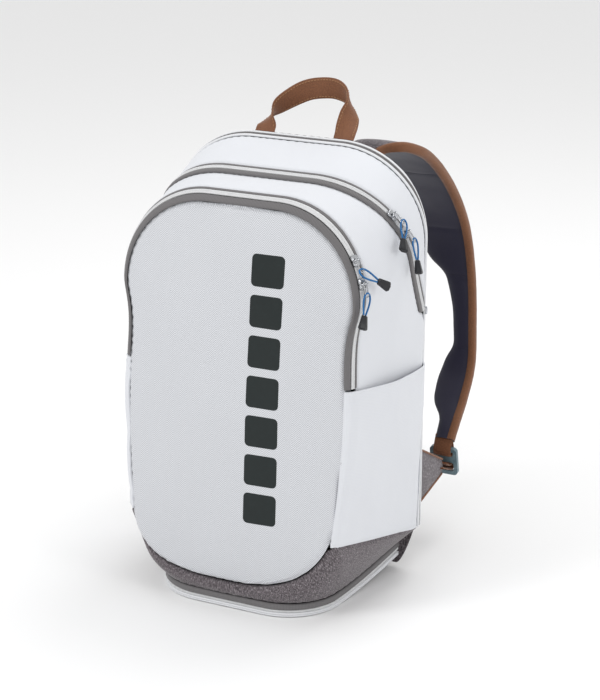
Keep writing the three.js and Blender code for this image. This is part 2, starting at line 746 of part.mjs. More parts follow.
// The cord's route: up one side, round inside the end of the wire, and back down the other
const CORD_LOOP = [
  [33, -1.4],
  [29, -2.4],
  [24, -3.6],
  [18, -4.3],
  [14, -3.9],
  [10.9, -2.4],
  [9.6, 0],
  [10.9, 2.4],
  [14, 3.9],
  [18, 4.3],
  [24, 3.6],
  [29, 2.4],
  [33, 1.4],
];

const pullCord = () => tube(through(CORD_LOOP.map(([x, y]) => [x, y, BRIDGE_Z])), CORD, 20, 8);

function cordTip() {
  const tip = new THREE.CylinderGeometry(4, 6, TIP_LENGTH, 6);
  tip.scale(1, 1, 0.6).rotateZ(Math.PI / 2);
  return tip.translate(TIP_START + TIP_LENGTH / 2, 0, BRIDGE_Z);
}

/** The frame of a slider: its origin on the zip, +X along the pull's side of the zip, +Z out of the bag. */
function zipFrame(place, line, onwards) {
  const STEP = 1e-3;
  const along = skin(place + STEP, line).sub(skin(place - STEP, line)).multiplyScalar(onwards).normalize();
  const across = skin(place, offset(line, 1)).sub(skin(place, offset(line, -1)));
  const out = along.clone().cross(across).normalize();
  if (out.x * place < 0) out.negate();
  const sideways = out.clone().cross(along);
  const origin = skin(place, line).addScaledVector(out, SLIDER_LIFT);
  return new THREE.Matrix4().makeBasis(along, sideways, out).setPosition(origin);
}

/** A slider with its wire pull. Returns the slider's group. */
function addSlider(name, frame) {
  const slider = new THREE.Group();
  slider.applyMatrix4(frame);
  bag.add(slider);
  add(`slider_${name}`, sliderBody(), "steel", slider);
  add(`pull_wire_${name}`, wirePull(), "steel", slider);
  return slider;
}

/** A slider whose wire carries a looped cord and its tip, turned by swing about the wire's end. */
function addCordedSlider(name, frame, swing) {
  const pull = new THREE.Group();
  const turn = THREE.MathUtils.degToRad(swing);
  const hang = new THREE.Matrix4().makeTranslation(WIRE_REACH, 0, 0);
  hang.multiply(new THREE.Matrix4().makeRotationZ(turn));
  hang.multiply(new THREE.Matrix4().makeTranslation(-WIRE_REACH, 0, 0));
  pull.applyMatrix4(hang);
  addSlider(name, frame).add(pull);
  add(`pull_cord_${name}`, pullCord(), "cord", pull);
  add(`pull_tip_${name}`, cordTip(), "black", pull);
}

function addSliders() {
  const frontZip = offset(frontY, FRONT_ZIP_NEAR + ZIP_WIDTH / 2);
  addCordedSlider("front_upper", zipFrame(0.428, frontZip, 1), 45);
  addCordedSlider("front_lower", zipFrame(0.49, frontZip, 1), -25);
  addCordedSlider("main_upper", zipFrame(0.4, mainZipY, 1), -62);
  addCordedSlider("main_lower", zipFrame(0.463, mainZipY, 1), -40);
  addSlider("rear", zipFrame(-0.9, rearSeamY, -1));
  addSlider("base", baseZipFrame(-0.93));
}

/** The frame of the slider on the base zip, with its pull towards the front. */
function baseZipFrame(turn) {
  const at = (step) => footRing(turn + step, TRAY_TOP + GAP + BASE_ZIP_HEIGHT / 2 + footRise(turn + step), -1);
  const along = at(0.01).sub(at(-0.01)).normalize();
  const out = along.clone().cross(vec(0, 0, 1)).normalize();
  if (out.x * turn < 0) out.negate();
  const sideways = out.clone().cross(along);
  return new THREE.Matrix4().makeBasis(along, sideways, out).setPosition(at(0).addScaledVector(out, SLIDER_LIFT));
}

addFrontPocket();
addMainCompartment();
addSides();
addBase();
addBack();
addHandle();
addStrap(-1, "left");
addStrap(1, "right");
addSliders();

export default bag;
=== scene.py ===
"""A racket backpack: sewn fabric panels, zips, webbing and padded straps, standing on a pale floor."""

import math

import bmesh
import bpy
import numpy as np
from mathutils import Matrix, Vector, noise


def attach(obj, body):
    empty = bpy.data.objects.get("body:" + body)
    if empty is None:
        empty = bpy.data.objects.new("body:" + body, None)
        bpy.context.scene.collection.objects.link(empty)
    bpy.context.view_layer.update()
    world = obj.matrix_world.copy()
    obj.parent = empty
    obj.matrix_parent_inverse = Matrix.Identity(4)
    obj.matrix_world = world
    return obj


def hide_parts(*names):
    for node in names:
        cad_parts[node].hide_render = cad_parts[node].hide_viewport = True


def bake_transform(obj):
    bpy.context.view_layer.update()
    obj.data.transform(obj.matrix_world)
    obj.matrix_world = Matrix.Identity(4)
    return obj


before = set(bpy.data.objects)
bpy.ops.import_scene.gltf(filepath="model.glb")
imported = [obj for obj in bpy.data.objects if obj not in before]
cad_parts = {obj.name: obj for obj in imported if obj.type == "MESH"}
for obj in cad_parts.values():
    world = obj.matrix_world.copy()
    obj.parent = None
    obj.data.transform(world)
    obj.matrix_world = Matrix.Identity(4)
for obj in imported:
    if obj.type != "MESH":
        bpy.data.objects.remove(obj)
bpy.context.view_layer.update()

# Driving dimensions, in millimetres. The front faces -Y, and the bag stands at z = 0.
MM = 0.001
FRAME_SHIFT_Y = -76.4  # from the bag's own frame to the row frame
HEIGHT = 498
FRONT_TOP = 452
MAIN_TOP = 470
CORNER = 100  # radius of the arch's shoulders
BACK_Y = 85
FRONT_FOOT_Y = -115
FRONT_TOP_Y = -83
REAR_SEAM_Y = 50
REAR_SEAM_RUN = 25
MAIN_ZIP_Y = -15
MAIN_ZIP_SLOPE = 0.45
MAIN_ZIP_END = 318
LID_Z = 268  # the lid and the front flap fold about this height
CROWN = 13
CLOTH = 1.6  # thickness of a lined panel as it shows at its edges
PANEL_INSET = 3.6  # the front panel's edge, in from the bag's side
PANEL_BOTTOM = 31
# Height where the panel's sides begin to turn in towards its foot, and the power of that curve.
# The filled panel sags a little to the left.
PANEL_BEND = {1: 130, -1: 108}
PANEL_ROUNDNESS = {1: 2.4, -1: 3.0}

# Outlines of the bag at shares of its depth: share, half width, top, half width at the foot, slack at the waist
STATIONS = [
    (0, 140.5, FRONT_TOP, 116, 6.5),
    (0.1, 144.5, FRONT_TOP + 9, 119, 6.5),
    (0.35, 150.5, MAIN_TOP - 5, 128, 3),
    (0.45, 152.5, MAIN_TOP + 4, 131, 2),
    (0.83, 154, HEIGHT, 144, 0),
    (1, 142, HEIGHT - 12, 144, 0),
]
WAIST_DROP = 0.14  # where the cloth hangs slackest, as a share of the way from the shoulder to the foot
# Along an outline the place runs from 0 at the top to 1 at a foot: over the flat top, round the shoulder, down
FLAT_END = 0.15
ARC_END = 0.55

# Widths across a zip, from its front side back, in mm from its middle
BAND_NEAR, BAND_FAR = -9, -2.6
COIL_NEAR, COIL_FAR = -1.6, 3.6
TAPE_FAR = 7.5
FRONT_ZIP_MIDDLE = 8  # behind the front face
EDGE_ROUND = 7  # depth of the rounded edge round the front face

INSIDE = (0, 0, 240)  # a point inside the bag, which every panel faces away from


# Small helpers


def lerp(low, high, share):
    return low + (high - low) * share


def clamp(value, low=0.0, high=1.0):
    return min(max(value, low), high)


def smooth(value):
    value = np.clip(value, 0, 1)
    return value * value * (3 - 2 * value)


def table(rows, key, column=1):
    """Straight-line interpolation in rows of (key, value, ...), held at both ends."""
    return float(np.interp(key, [row[0] for row in rows], [row[column] for row in rows]))


def even(count):
    return np.linspace(0, 1, count + 1)


def crowded(count):
    """Shares from 0 to 1, closer together at both ends."""
    return (1 - np.cos(np.linspace(0, math.pi, count + 1))) / 2


def unit(vectors):
    """A vector, or each vector of an array, at length one."""
    vectors = np.asarray(vectors, float)
    return vectors / np.maximum(np.linalg.norm(vectors, axis=-1, keepdims=True), 1e-9)


def run_along(line):
    """The distance from a line's start to each of its points."""
    return np.concatenate(([0], np.cumsum(np.linalg.norm(np.diff(line, axis=0), axis=1))))


def sampled(rows, run, wanted):
    """Rows of values at wanted distances along a run."""
    return np.stack([np.interp(wanted, run, column) for column in rows.T], axis=1)


def resampled(line, count):
    """The line again, in evenly long steps."""
    run = run_along(line)
    return sampled(line, run, np.linspace(0, run[-1], count + 1))


def spline(points, count):
    """Evenly spaced points on a centripetal Catmull-Rom curve."""
    points = np.array(points, float)
    points = np.vstack((2 * points[0] - points[1], points, 2 * points[-1] - points[-2]))
    dense = []
    for i in range(len(points) - 3):
        p = points[i : i + 4]
        k = np.concatenate(([0], np.cumsum(np.linalg.norm(np.diff(p, axis=0), axis=1) ** 0.5)))
        for t in np.linspace(k[1], k[2], 24, endpoint=False):
            first = [lerp(p[j], p[j + 1], (t - k[j]) / (k[j + 1] - k[j])) for j in range(3)]
            second = [lerp(first[j], first[j + 1], (t - k[j]) / (k[j + 2] - k[j])) for j in range(2)]
            dense.append(lerp(*second, (t - k[1]) / (k[2] - k[1])))
    dense.append(points[-2])
    return resampled(np.array(dense), count)


# The bag's skin


def front_y(z):
    return lerp(FRONT_FOOT_Y, FRONT_TOP_Y, clamp((z - 40) / (FRONT_TOP - 40)))


def main_zip_y(z):
    return MAIN_ZIP_Y + MAIN_ZIP_SLOPE * (MAIN_TOP - z)


def rear_seam_y(z):
    return REAR_SEAM_Y + REAR_SEAM_RUN * (1 - (z / HEIGHT) ** 2)


def offset(line, by):
    return lambda z: line(z) + by


def station_at(share):
    """Half width, top, half width at the foot and slack at the waist, at a share of the depth."""
    return [table(STATIONS, share, column) for column in (1, 2, 3, 4)]


def side_at(station, drop):
    """Half the width under the shoulders, where drop runs from 0 at the shoulder to 1 at the foot."""
    half_width, _, foot, waist = station
    slack = drop / WAIST_DROP
    return half_width - (half_width - foot) * drop**2 - waist * slack**2 * math.exp(2 - 2 * slack)


def outline_point(place, share):
    """The outline from place -1 at the left foot, over the top at 0, to 1 at the right foot."""
    station = station_at(share)
    half_width, top = station[:2]
    run = abs(place)
    shoulder = half_width - CORNER
    if run < FLAT_END:
        x, z = shoulder * run / FLAT_END, top
    elif run < ARC_END:
        turn = (run - FLAT_END) / (ARC_END - FLAT_END) * math.pi / 2
        x = shoulder + CORNER * math.sin(turn)
        z = top - CORNER + CORNER * math.cos(turn)
    else:
        drop = (run - ARC_END) / (1 - ARC_END)
        x = side_at(station, drop)
        z = (top - CORNER) * (1 - drop)
    return math.copysign(x, place), z


def depth_share(y, z):
    near = front_y(z)
    return clamp((y - near) / (BACK_Y - near))


def skin(place, line):
    """The skin at a place along the outline, at the depth that line(z) gives."""
    share = 0.5
    for _ in range(6):
        x, z = outline_point(place, share)
        share = depth_share(line(z), z)
    return np.array((x, line(z), z))


def half_width_at(station, z, inset=0.0):
    """Half the width of an outline at a height, drawn in by an inset."""
    half_width, top = station[:2]
    shoulder = top - CORNER
    if z > shoulder:
        return half_width - CORNER + math.sqrt(max(0, (CORNER - inset) ** 2 - (z - shoulder) ** 2))
    return side_at(station, 1 - z / shoulder) - inset


def skin_half_width(y, z):
    return half_width_at(station_at(depth_share(y, z)), z)


def place_at(line, height):
    """The place on the right where the skin along a line comes down to a height."""
    high, low = FLAT_END, 1.0
    for _ in range(24):
        middle = (high + low) / 2
        if skin(middle, line)[2] > height:
            high = middle
        else:
            low = middle
    return high


def arch_line(line, height, count):
    """Evenly spaced points over the arch, from the left to the right end at a height."""
    end = place_at(line, height)
    return resampled(np.array([skin(end * turn, line) for turn in np.linspace(-1, 1, 181)]), count)


def arch_grid(near, far, feet, columns, shares):
    """Rows of points over the arch, from a near line to a far line; feet are the heights where they end."""

    def row(share):
        return arch_line(lambda z: lerp(near(z), far(z), share), lerp(*feet, share), columns)

    return np.array([row(share) for share in shares])


# Cloth, as grids of points [row][column][xyz]


def grid_of(surface, columns, rows):
    return np.array([[surface(a, b) for a in columns] for b in rows], float)


def grid_normals(grid, inside=INSIDE):
    normals = unit(np.cross(np.gradient(grid, axis=1), np.gradient(grid, axis=0)))
    return normals * (1 if np.sum(normals * (grid - np.asarray(inside))) > 0 else -1)


def runs(grid):
    """The distance along each row and up each column, in mm."""
    along = np.linalg.norm(np.diff(grid, axis=1), axis=2)
    up = np.linalg.norm(np.diff(grid, axis=0), axis=2)
    along = np.concatenate((np.zeros((grid.shape[0], 1)), np.cumsum(along, axis=1)), axis=1)
    up = np.concatenate((np.zeros((1, grid.shape[1])), np.cumsum(up, axis=0)), axis=0)
    return along, up


def border(grid, sides):
    """The distance in mm to the nearest of the named borders: l, r, b and t."""
    along, up = runs(grid)
    reach = {"l": along, "r": along[:, -1:] - along, "b": up, "t": up[-1:] - up}
    return np.min([reach[side] for side in sides], axis=0)


def rolled(distance, width=4.0, depth=1.8):
    """How far a seam pulls the cloth in, near its border."""
    return -depth * (1 - smooth(distance / width))


def noise_field(grid, size, seed=0.0):
    """Smooth noise from -1 to 1 over a grid; size is in mm, one number or one for each axis."""
    scaled = grid / np.asarray(size, float) + seed
    return np.array([[noise.noise(Vector(point)) for point in row] for row in scaled])


def puckers(grid, distance, pitch, height, reach):
    """Small gathers along a seam, dying out over reach."""
    along, up = runs(grid)
    run = np.maximum(along, up)
    wave = np.sin(2 * math.pi * run / pitch + 3 * noise_field(grid, 40, 5.0))
    return height * wave * (1 - smooth(distance / reach))


def to_row_frame(points):
    points = np.array(points, float).reshape(-1, 3)
    points[:, 1] += FRAME_SHIFT_Y
    return points * MM


def new_object(name, points, faces, uvs, material, sharp=50):
    """A mesh object from points in mm, with uvs in metres on a map that the weaves follow."""
    mesh = bpy.data.meshes.new(name)
    mesh.from_pydata(to_row_frame(points).tolist(), [], faces)
    work = bmesh.new()
    work.from_mesh(mesh)
    bmesh.ops.recalc_face_normals(work, faces=work.faces)
    work.to_mesh(mesh)
    work.free()
    layer = mesh.uv_layers.new(name="weave")
    corners = np.zeros(len(mesh.loops), int)
    mesh.loops.foreach_get("vertex_index", corners)
    layer.data.foreach_set("uv", (np.asarray(uvs, float)[corners] * MM).ravel())
    mesh.shade_smooth()
    mesh.set_sharp_from_angle(angle=math.radians(sharp))
    mesh.materials.append(MATERIALS[material])
    made = bpy.data.objects.new(name, mesh)
    bpy.context.scene.collection.objects.link(made)
    return made


def solid_faces(rows, columns):
    """Faces of a solid between an outer and an inner grid."""
    faces = []
    size = rows * columns
    for row in range(rows - 1):
        for column in range(columns - 1):
            a, b = row * columns + column, row * columns + column + 1
            c, d = b + columns, a + columns
            faces.append((a, b, c, d))
            faces.append((size + a, size + d, size + c, size + b))
        for column in (0, columns - 1):
            a = row * columns + column
            d = a + columns
            faces.append((a, d, size + d, size + a))
    for row in (0, rows - 1):
        for column in range(columns - 1):
            a = row * columns + column
            faces.append((a, size + a, size + a + 1, a + 1))
    return faces


def ring_faces(rings, sides, first=0):
    """Faces of a tube of rings of points, with a cap on each end."""
    faces = []
    for ring in range(rings - 1):
        for k in range(sides):
            a, b = (first + ring * sides + corner % sides for corner in (k, k + 1))
            faces.append((a, b, b + sides, a + sides))
    for ring in (0, rings - 1):
        faces.append(tuple(first + ring * sides + k for k in range(sides)))
    return faces


def layered(name, outer, inner, uvs, material):
    """A solid between two grids of points."""
    points = np.concatenate((outer.reshape(-1, 3), inner.reshape(-1, 3)))
    flat = uvs.reshape(-1, 2)
    return new_object(name, points, solid_faces(*outer.shape[:2]), np.concatenate((flat, flat)), material)


def sew(name, grid, material, lift=0.0, thickness=CLOTH, inside=INSIDE):
    """A sheet of cloth: the grid lifted along its normals, and thickened inwards."""
    normals = grid_normals(grid, inside)
    outer = grid + normals * np.broadcast_to(lift, grid.shape[:2])[..., None]
    along, up = runs(grid)
    uvs = np.stack((along - along[:, -1:] / 2, up), axis=2)
    return layered(name, outer, outer - normals * thickness, uvs, material)


def loop_tube(name, line, radius, material, sides=10, squashed=1.0):
    """A round or flattened tube along points in mm."""
    line = np.asarray(line, float)
    tangents = unit(np.gradient(line, axis=0))
    run = run_along(line)
    side = np.cross(tangents[0], (0.13, 0.2, 1.0))
    points, uvs = [], []
    for i, centre in enumerate(line):
        side = unit(side - tangents[i] * np.dot(side, tangents[i]))
        up = np.cross(tangents[i], side)
        for k in range(sides):
            angle = 2 * math.pi * k / sides
            points.append(centre + radius * (math.cos(angle) * side + squashed * math.sin(angle) * up))
            uvs.append((run[i], radius * angle))
    return new_object(name, points, ring_faces(len(line), sides), uvs, material)


def stand_for(made, slot, nodes):
    """The piece stands for CAD nodes, which are hidden; the slot is not used."""
    if nodes:
        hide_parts(*nodes)
    return made


def place_on(body, made, slot, *nodes):
    """The piece rides on a body."""
    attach(made, body)
    return stand_for(made, slot, nodes)


def bend(made, first, second, fold, slot, *nodes):
    """The piece's placement is baked into its mesh and it stands for CAD nodes; it is not bent, and the two bodies
    are not used.
    """
    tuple(fold[0])
    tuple(fold[1])
    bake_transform(made)
    return stand_for(made, slot, nodes)


def fold_between(*points):
    """The start and end of a bend, from points in mm."""
    return tuple(tuple(point) for point in to_row_frame(points))


# Materials


class Finish:
    """One material and its nodes. Every pattern is in metres on the weave map."""

    def __init__(self, name, roughness, **settings):
        self.material = bpy.data.materials.new(name)
        self.material.use_nodes = True
        self.tree = self.material.node_tree
        self.shader = self.tree.nodes["Principled BSDF"]
        self.shader.inputs["Roughness"].default_value = roughness
        for socket, value in settings.items():
            self.shader.inputs[socket.replace("_", " ")].default_value = value

    def feed(self, socket, value):
        if isinstance(value, bpy.types.NodeSocket):
            self.tree.links.new(value, socket)
        elif value is not None:
            socket.default_value = value

    def node(self, kind, *inputs, **properties):
        made = self.tree.nodes.new(kind)
        for key, value in properties.items():
            setattr(made, key, value)
        for socket, value in zip(made.inputs, inputs):
            self.feed(socket, value)
        return made.outputs[0]

    def maths(self, operation, *inputs):
        return self.node("ShaderNodeMath", *inputs, operation=operation)

    def weave(self):
        uv = self.node("ShaderNodeUVMap", uv_map="weave")
        parts = self.tree.nodes.new("ShaderNodeSeparateXYZ")
        self.tree.links.new(uv, parts.inputs[0])
        return parts.outputs[0], parts.outputs[1]

    def wave(self, value, pitch):
        """A sine from 0 to 1 with a pitch in metres."""
        sine = self.maths("SINE", self.maths("MULTIPLY", value, 2 * math.pi / pitch))
        return self.maths("MULTIPLY_ADD", sine, 0.5, 0.5)

    def noise(self, u_scale, v_scale, detail=2.0):
        """Noise with its own scales, in cycles per metre along the weave's two ways."""
        uv = self.node("ShaderNodeUVMap", uv_map="weave")
        scaled = self.node("ShaderNodeVectorMath", uv, (u_scale, v_scale, 1), operation="MULTIPLY")
        return self.node("ShaderNodeTexNoise", scaled, None, 1.0, detail)

    def mix(self, share, first, second):
        """A blend of two colours, each a colour or another node's output."""
        made = self.tree.nodes.new("ShaderNodeMix")
        made.data_type = "RGBA"
        self.feed(made.inputs[0], share)
        for socket, value in ((made.inputs[6], first), (made.inputs[7], second)):
            self.feed(socket, (*value, 1) if isinstance(value, tuple) else value)
        return made.outputs[2]

    def contrast(self, value, low, high):
        return self.node("ShaderNodeMapRange", value, low, high, 0.0, 1.0)

    def product(self, first, second):
        return self.maths("MULTIPLY", first, second)

    def done(self, colour, gloss, relief):
        """The material, from a colour, a gloss (share, rough, polished) and a relief (height, distance, strength)."""
        roughness = self.node("ShaderNodeMapRange", gloss[0], 0.0, 1.0, *gloss[1:])
        bump = self.tree.nodes.new("ShaderNodeBump")
        for socket, value in zip(("Height", "Distance", "Strength"), relief):
            self.feed(bump.inputs[socket], value)
        for socket, value in (("Base Color", colour), ("Roughness", roughness), ("Normal", bump.outputs[0])):
            self.feed(self.shader.inputs[socket], value)
        return self.material


def darker(colour, factor):
    return tuple(channel * factor for channel in colour)


def herringbone_cloth(name, colour, depth):
    """White herringbone polyester: zigzag columns of fine diagonal yarns."""
    COLUMN, PITCH = 0.0085, 0.0024
    finish = Finish(name, 0.6, Sheen_Weight=0.15, Sheen_Roughness=0.4)
    u, v = finish.weave()
    yarn = finish.wave(finish.maths("ADD", v, finish.maths("PINGPONG", u, COLUMN)), PITCH)
    cloud = finish.contrast(finish.noise(14, 9), 0.35, 0.7)
    woven = finish.mix(yarn, darker(colour, 1 - depth), colour)
    clouded = finish.mix(finish.product(cloud, 0.12), woven, darker(colour, 0.7))
    return finish.done(clouded, (yarn, 0.66, 0.5), (yarn, 0.0002, 0.5))


def plain_cloth(name, colour, pitch, depth, roughness=0.62, sheen=0.12):
    """Plain weave, with a slow change of tone over the panel."""
    finish = Finish(name, roughness, Sheen_Weight=sheen, Sheen_Roughness=0.4)
    u, v = finish.weave()
    yarn = finish.product(finish.wave(u, pitch), finish.wave(v, pitch))
    cloud = finish.contrast(finish.noise(18, 12, 3.0), 0.3, 0.75)
    woven = finish.mix(yarn, darker(colour, 1 - depth), colour)
    clouded = finish.mix(finish.product(cloud, 0.08), woven, darker(colour, 0.62))
    return finish.done(clouded, (yarn, roughness + 0.06, roughness - 0.05), (yarn, 0.00008, 0.5))


def melange_cloth(name, dark, middle, light):
    """Yarns of three tones, which show as flecks running up the cloth."""
    finish = Finish(name, 0.85, Sheen_Weight=0.2, Sheen_Roughness=0.5)
    flecks = finish.noise(620, 150, 3.0)
    specks = finish.noise(1100, 330, 1.0)
    tone = finish.mix(finish.contrast(flecks, 0.4, 0.6), dark, middle)
    bright = finish.product(finish.contrast(specks, 0.52, 0.7), 0.8)
    height = finish.maths("ADD", flecks, specks)
    return finish.done(finish.mix(bright, tone, light), (flecks, 0.92, 0.74), (height, 0.00025, 0.6))


def ribbed_tape(name, dark, light, pitch, roughness=0.7):
    """Woven tape with fine ribs across it."""
    finish = Finish(name, roughness, Sheen_Weight=0.1)
    rib = finish.wave(finish.weave()[0], pitch)
    thread = finish.noise(900, 900, 2.0)
    share = finish.maths("ADD", finish.product(rib, 0.6), finish.product(thread, 0.4))
    gloss = (rib, roughness + 0.1, roughness - 0.1)
    return finish.done(finish.mix(share, dark, light), gloss, (share, 0.0002, 0.7))


def twill_webbing(name, dark, middle, light):
    """Tan webbing: a fine twill with darker and lighter yarns."""
    finish = Finish(name, 0.72, Sheen_Weight=0.2, Sheen_Roughness=0.4)
    u, v = finish.weave()
    twill = finish.wave(finish.maths("ADD", u, finish.product(v, 0.6)), 0.0016)
    thread = finish.contrast(finish.noise(620, 620, 3.0), 0.35, 0.65)
    wear = finish.contrast(finish.noise(40, 70, 2.0), 0.4, 0.8)
    tone = finish.mix(thread, dark, middle)
    tone = finish.mix(finish.product(twill, 0.35), tone, light)
    tone = finish.mix(finish.product(wear, 0.25), tone, light)
    return finish.done(tone, (twill, 0.82, 0.62), (finish.maths("ADD", twill, thread), 0.00018, 0.6))


def mesh_cloth(name, dark, light):
    """Spacer mesh: rows of small round holes."""
    PITCH = 0.0034
    finish = Finish(name, 0.85, Sheen_Weight=0.25)
    u, v = finish.weave()
    cell = finish.product(finish.wave(u, PITCH), finish.wave(v, PITCH))
    colour = finish.mix(finish.contrast(cell, 0.25, 0.6), light, dark)
    return finish.done(colour, (cell, 0.8, 0.95), (finish.maths("SUBTRACT", 1.0, cell), 0.0006, 0.8))


def moulded_plastic(name, dark, light, roughness, shine=0.5):
    """Moulded plastic with a fine texture and paler, rubbed places."""
    finish = Finish(name, roughness, Specular_IOR_Level=shine, Coat_Weight=0.1)
    grain = finish.noise(1800, 1800, 2.0)
    rub = finish.contrast(finish.noise(120, 120, 2.0), 0.45, 0.8)
    return finish.done(finish.mix(rub, dark, light), (rub, roughness, roughness + 0.12), (grain, 0.00008, 0.5))


def plated_metal(name, colour):
    """Bright plating with faint scuffs."""
    finish = Finish(name, 0.2, Metallic=1.0)
    scuff = finish.contrast(finish.noise(300, 300, 3.0), 0.5, 0.8)
    return finish.done(finish.mix(scuff, colour, darker(colour, 0.7)), (scuff, 0.2, 0.4), (scuff, 0.00002, 0.2))


def braided_cord(name, dark, light):
    """Braid: two sets of strands that cross on the slant."""
    finish = Finish(name, 0.6, Sheen_Weight=0.05)
    u, v = finish.weave()
    slants = [finish.wave(finish.maths(way, u, v), 0.0011) for way in ("ADD", "SUBTRACT")]
    strand = finish.maths("MAXIMUM", *slants)
    return finish.done(finish.mix(strand, dark, light), (strand, 0.75, 0.5), (strand, 0.0002, 0.7))


WHITE = (0.70, 0.715, 0.75)
MATERIALS = {
    "herringbone": herringbone_cloth("herringbone", WHITE, 0.4),
    "white": plain_cloth("white_cloth", WHITE, 0.0016, 0.07),
    "lining": plain_cloth("lining", (0.27, 0.28, 0.3), 0.0015, 0.2),
    "melange": melange_cloth("melange", (0.045, 0.036, 0.041), (0.115, 0.096, 0.106), (0.33, 0.3, 0.315)),
    "grey": ribbed_tape("grey_tape", (0.10, 0.095, 0.097), (0.17, 0.163, 0.166), 0.0016),
    # Painted shade: this near-black tape stands in for the shadow in the narrow gap beside a zip's coil
    "black": ribbed_tape("painted_shadow_tape", (0.012, 0.012, 0.013), (0.022, 0.021, 0.023), 0.0012),
    "coil": ribbed_tape("coil", (0.5, 0.505, 0.515), (0.82, 0.825, 0.83), 0.0013, 0.45),
    "piping": plain_cloth("piping", (0.78, 0.79, 0.81), 0.001, 0.1, 0.5),
    "navy": plain_cloth("navy_lining", (0.024, 0.022, 0.05), 0.0012, 0.3, 0.48, sheen=0.0),
    "tan": twill_webbing("tan_webbing", (0.1, 0.034, 0.012), (0.2, 0.074, 0.028), (0.28, 0.115, 0.05)),
    "binding": twill_webbing("binding", (0.1, 0.036, 0.013), (0.2, 0.075, 0.027), (0.27, 0.11, 0.045)),
    "mesh": mesh_cloth("spacer_mesh", (0.012, 0.012, 0.016), (0.05, 0.05, 0.062)),
    "slate": moulded_plastic("slate_plastic", (0.105, 0.17, 0.2), (0.19, 0.27, 0.3), 0.35),
    "board": moulded_plastic("board_plastic", (0.03, 0.03, 0.033), (0.05, 0.05, 0.055), 0.5),
    "tip": moulded_plastic("tip_plastic", (0.009, 0.0095, 0.012), (0.02, 0.021, 0.025), 0.35, 0.25),
    "metal": plated_metal("plated_metal", (0.46, 0.47, 0.49)),
    "cord": braided_cord("braided_cord", (0.0, 0.05, 0.17), (0.0, 0.14, 0.38)),
    "print": moulded_plastic("print_ink", (0.016, 0.021, 0.021), (0.02, 0.026, 0.026), 0.7, 0.2),
    "thread": plain_cloth("thread", (0.62, 0.63, 0.66), 0.0006, 0.2, 0.6),
    "tan_thread": plain_cloth("tan_thread", (0.5, 0.28, 0.13), 0.0006, 0.2, 0.6),
}


# Camera, light and floor


def add_camera():
    """The bag seen from its front right, a little from above."""
    AZIMUTH, ELEVATION, DISTANCE = math.radians(27.5), math.radians(17.8), 2.3
    target = Vector((0, FRAME_SHIFT_Y * MM, 0.26))
    level = math.cos(ELEVATION)
    towards = Vector((math.sin(AZIMUTH) * level, -math.cos(AZIMUTH) * level, math.sin(ELEVATION)))
    data = bpy.data.cameras.new("camera")
    data.lens = 106.6
    data.shift_x = 0.0343
    data.shift_y = 0.0069
    camera = bpy.data.objects.new("camera", data)
    camera.location = target + towards * DISTANCE
    camera.rotation_euler = towards.to_track_quat("Z", "Y").to_euler()
    bpy.context.scene.collection.objects.link(camera)
    bpy.context.scene.camera = camera


def add_light(name, place, size, power):
    data = bpy.data.lights.new(name, "AREA")
    data.shape = "DISK"
    data.size = size
    data.energy = power
    lamp = bpy.data.objects.new(name, data)
    lamp.location = place
    lamp.rotation_euler = (Vector(place) - Vector((0, 0, 0.25))).to_track_quat("Z", "Y").to_euler()
    bpy.context.scene.collection.objects.link(lamp)


def add_studio():
    """A wide white floor, a pale sky, a soft key from the front left and weaker lamps beside and above."""
    HALF_FLOOR = 8.0
    scene = bpy.context.scene
    scene.view_settings.view_transform = "Standard"
    world = bpy.data.worlds.new("studio")
    world.use_nodes = True
    sky = world.node_tree.nodes["Background"].inputs
    sky["Color"].default_value = (1, 1, 1, 1)
    sky["Strength"].default_value = 0.85
    scene.world = world
    add_light("key", (-1.3, -2.1, 1.9), 1.0, 22)
    add_light("side", (2.5, -0.7, 1.2), 0.9, 10)
    add_light("top", (0.3, 0.9, 2.2), 1.2, 14)
    mesh = bpy.data.meshes.new("floor")
    corners = [(HALF_FLOOR * x, HALF_FLOOR * y, 0) for x, y in ((-1, -1), (1, -1), (1, 1), (-1, 1))]
    mesh.from_pydata(corners, [], [(0, 1, 2, 3)])
    floor = bpy.data.objects.new("floor", mesh)
    scene.collection.objects.link(floor)
    finish = Finish("floor", 0.8)
    finish.shader.inputs["Base Color"].default_value = (0.9, 0.9, 0.9, 1)
    mesh.materials.append(finish.material)


# Front panel and flap


PANEL_TOP = FRONT_TOP - PANEL_INSET


def panel_half_width(z, side=1):
    bend_z, power = PANEL_BEND[side], PANEL_ROUNDNESS[side]
    below = clamp((bend_z - z) / (bend_z - PANEL_BOTTOM), 0, 0.985)
    return half_width_at(station_at(0), z, PANEL_INSET) * (1 - below**power) ** (1 / power)


def panel_point(across, z):
    up = clamp((z - PANEL_BOTTOM) / (PANEL_TOP - PANEL_BOTTOM), 0.001, 0.999)
    y = front_y(z) - CROWN * math.sin(math.pi * up) ** 0.5 * (1 - abs(across) ** 2.2)
    return np.array((across * panel_half_width(z, 1 if across > 0 else -1), y, z))


def panel_edge_distance(grid):
    """The distance in mm from points of the front panel to its edge."""
    STEP = 0.5
    distance = np.zeros(grid.shape[:2])
    for i, row in enumerate(grid):
        z = row[0][2]
        low, high = max(z - STEP, PANEL_BOTTOM), min(z + STEP, PANEL_TOP)
        for side in (-1, 1):
            slope = (panel_half_width(high, side) - panel_half_width(low, side)) / max(high - low, 1e-6)
            sideways = (panel_half_width(z, side) - side * row[:, 0]) / math.hypot(1, slope)
            edge = np.minimum(np.minimum(sideways, PANEL_TOP - z), z - PANEL_BOTTOM)
            distance[i] = np.where(side * row[:, 0] >= 0, edge, distance[i])
    return distance


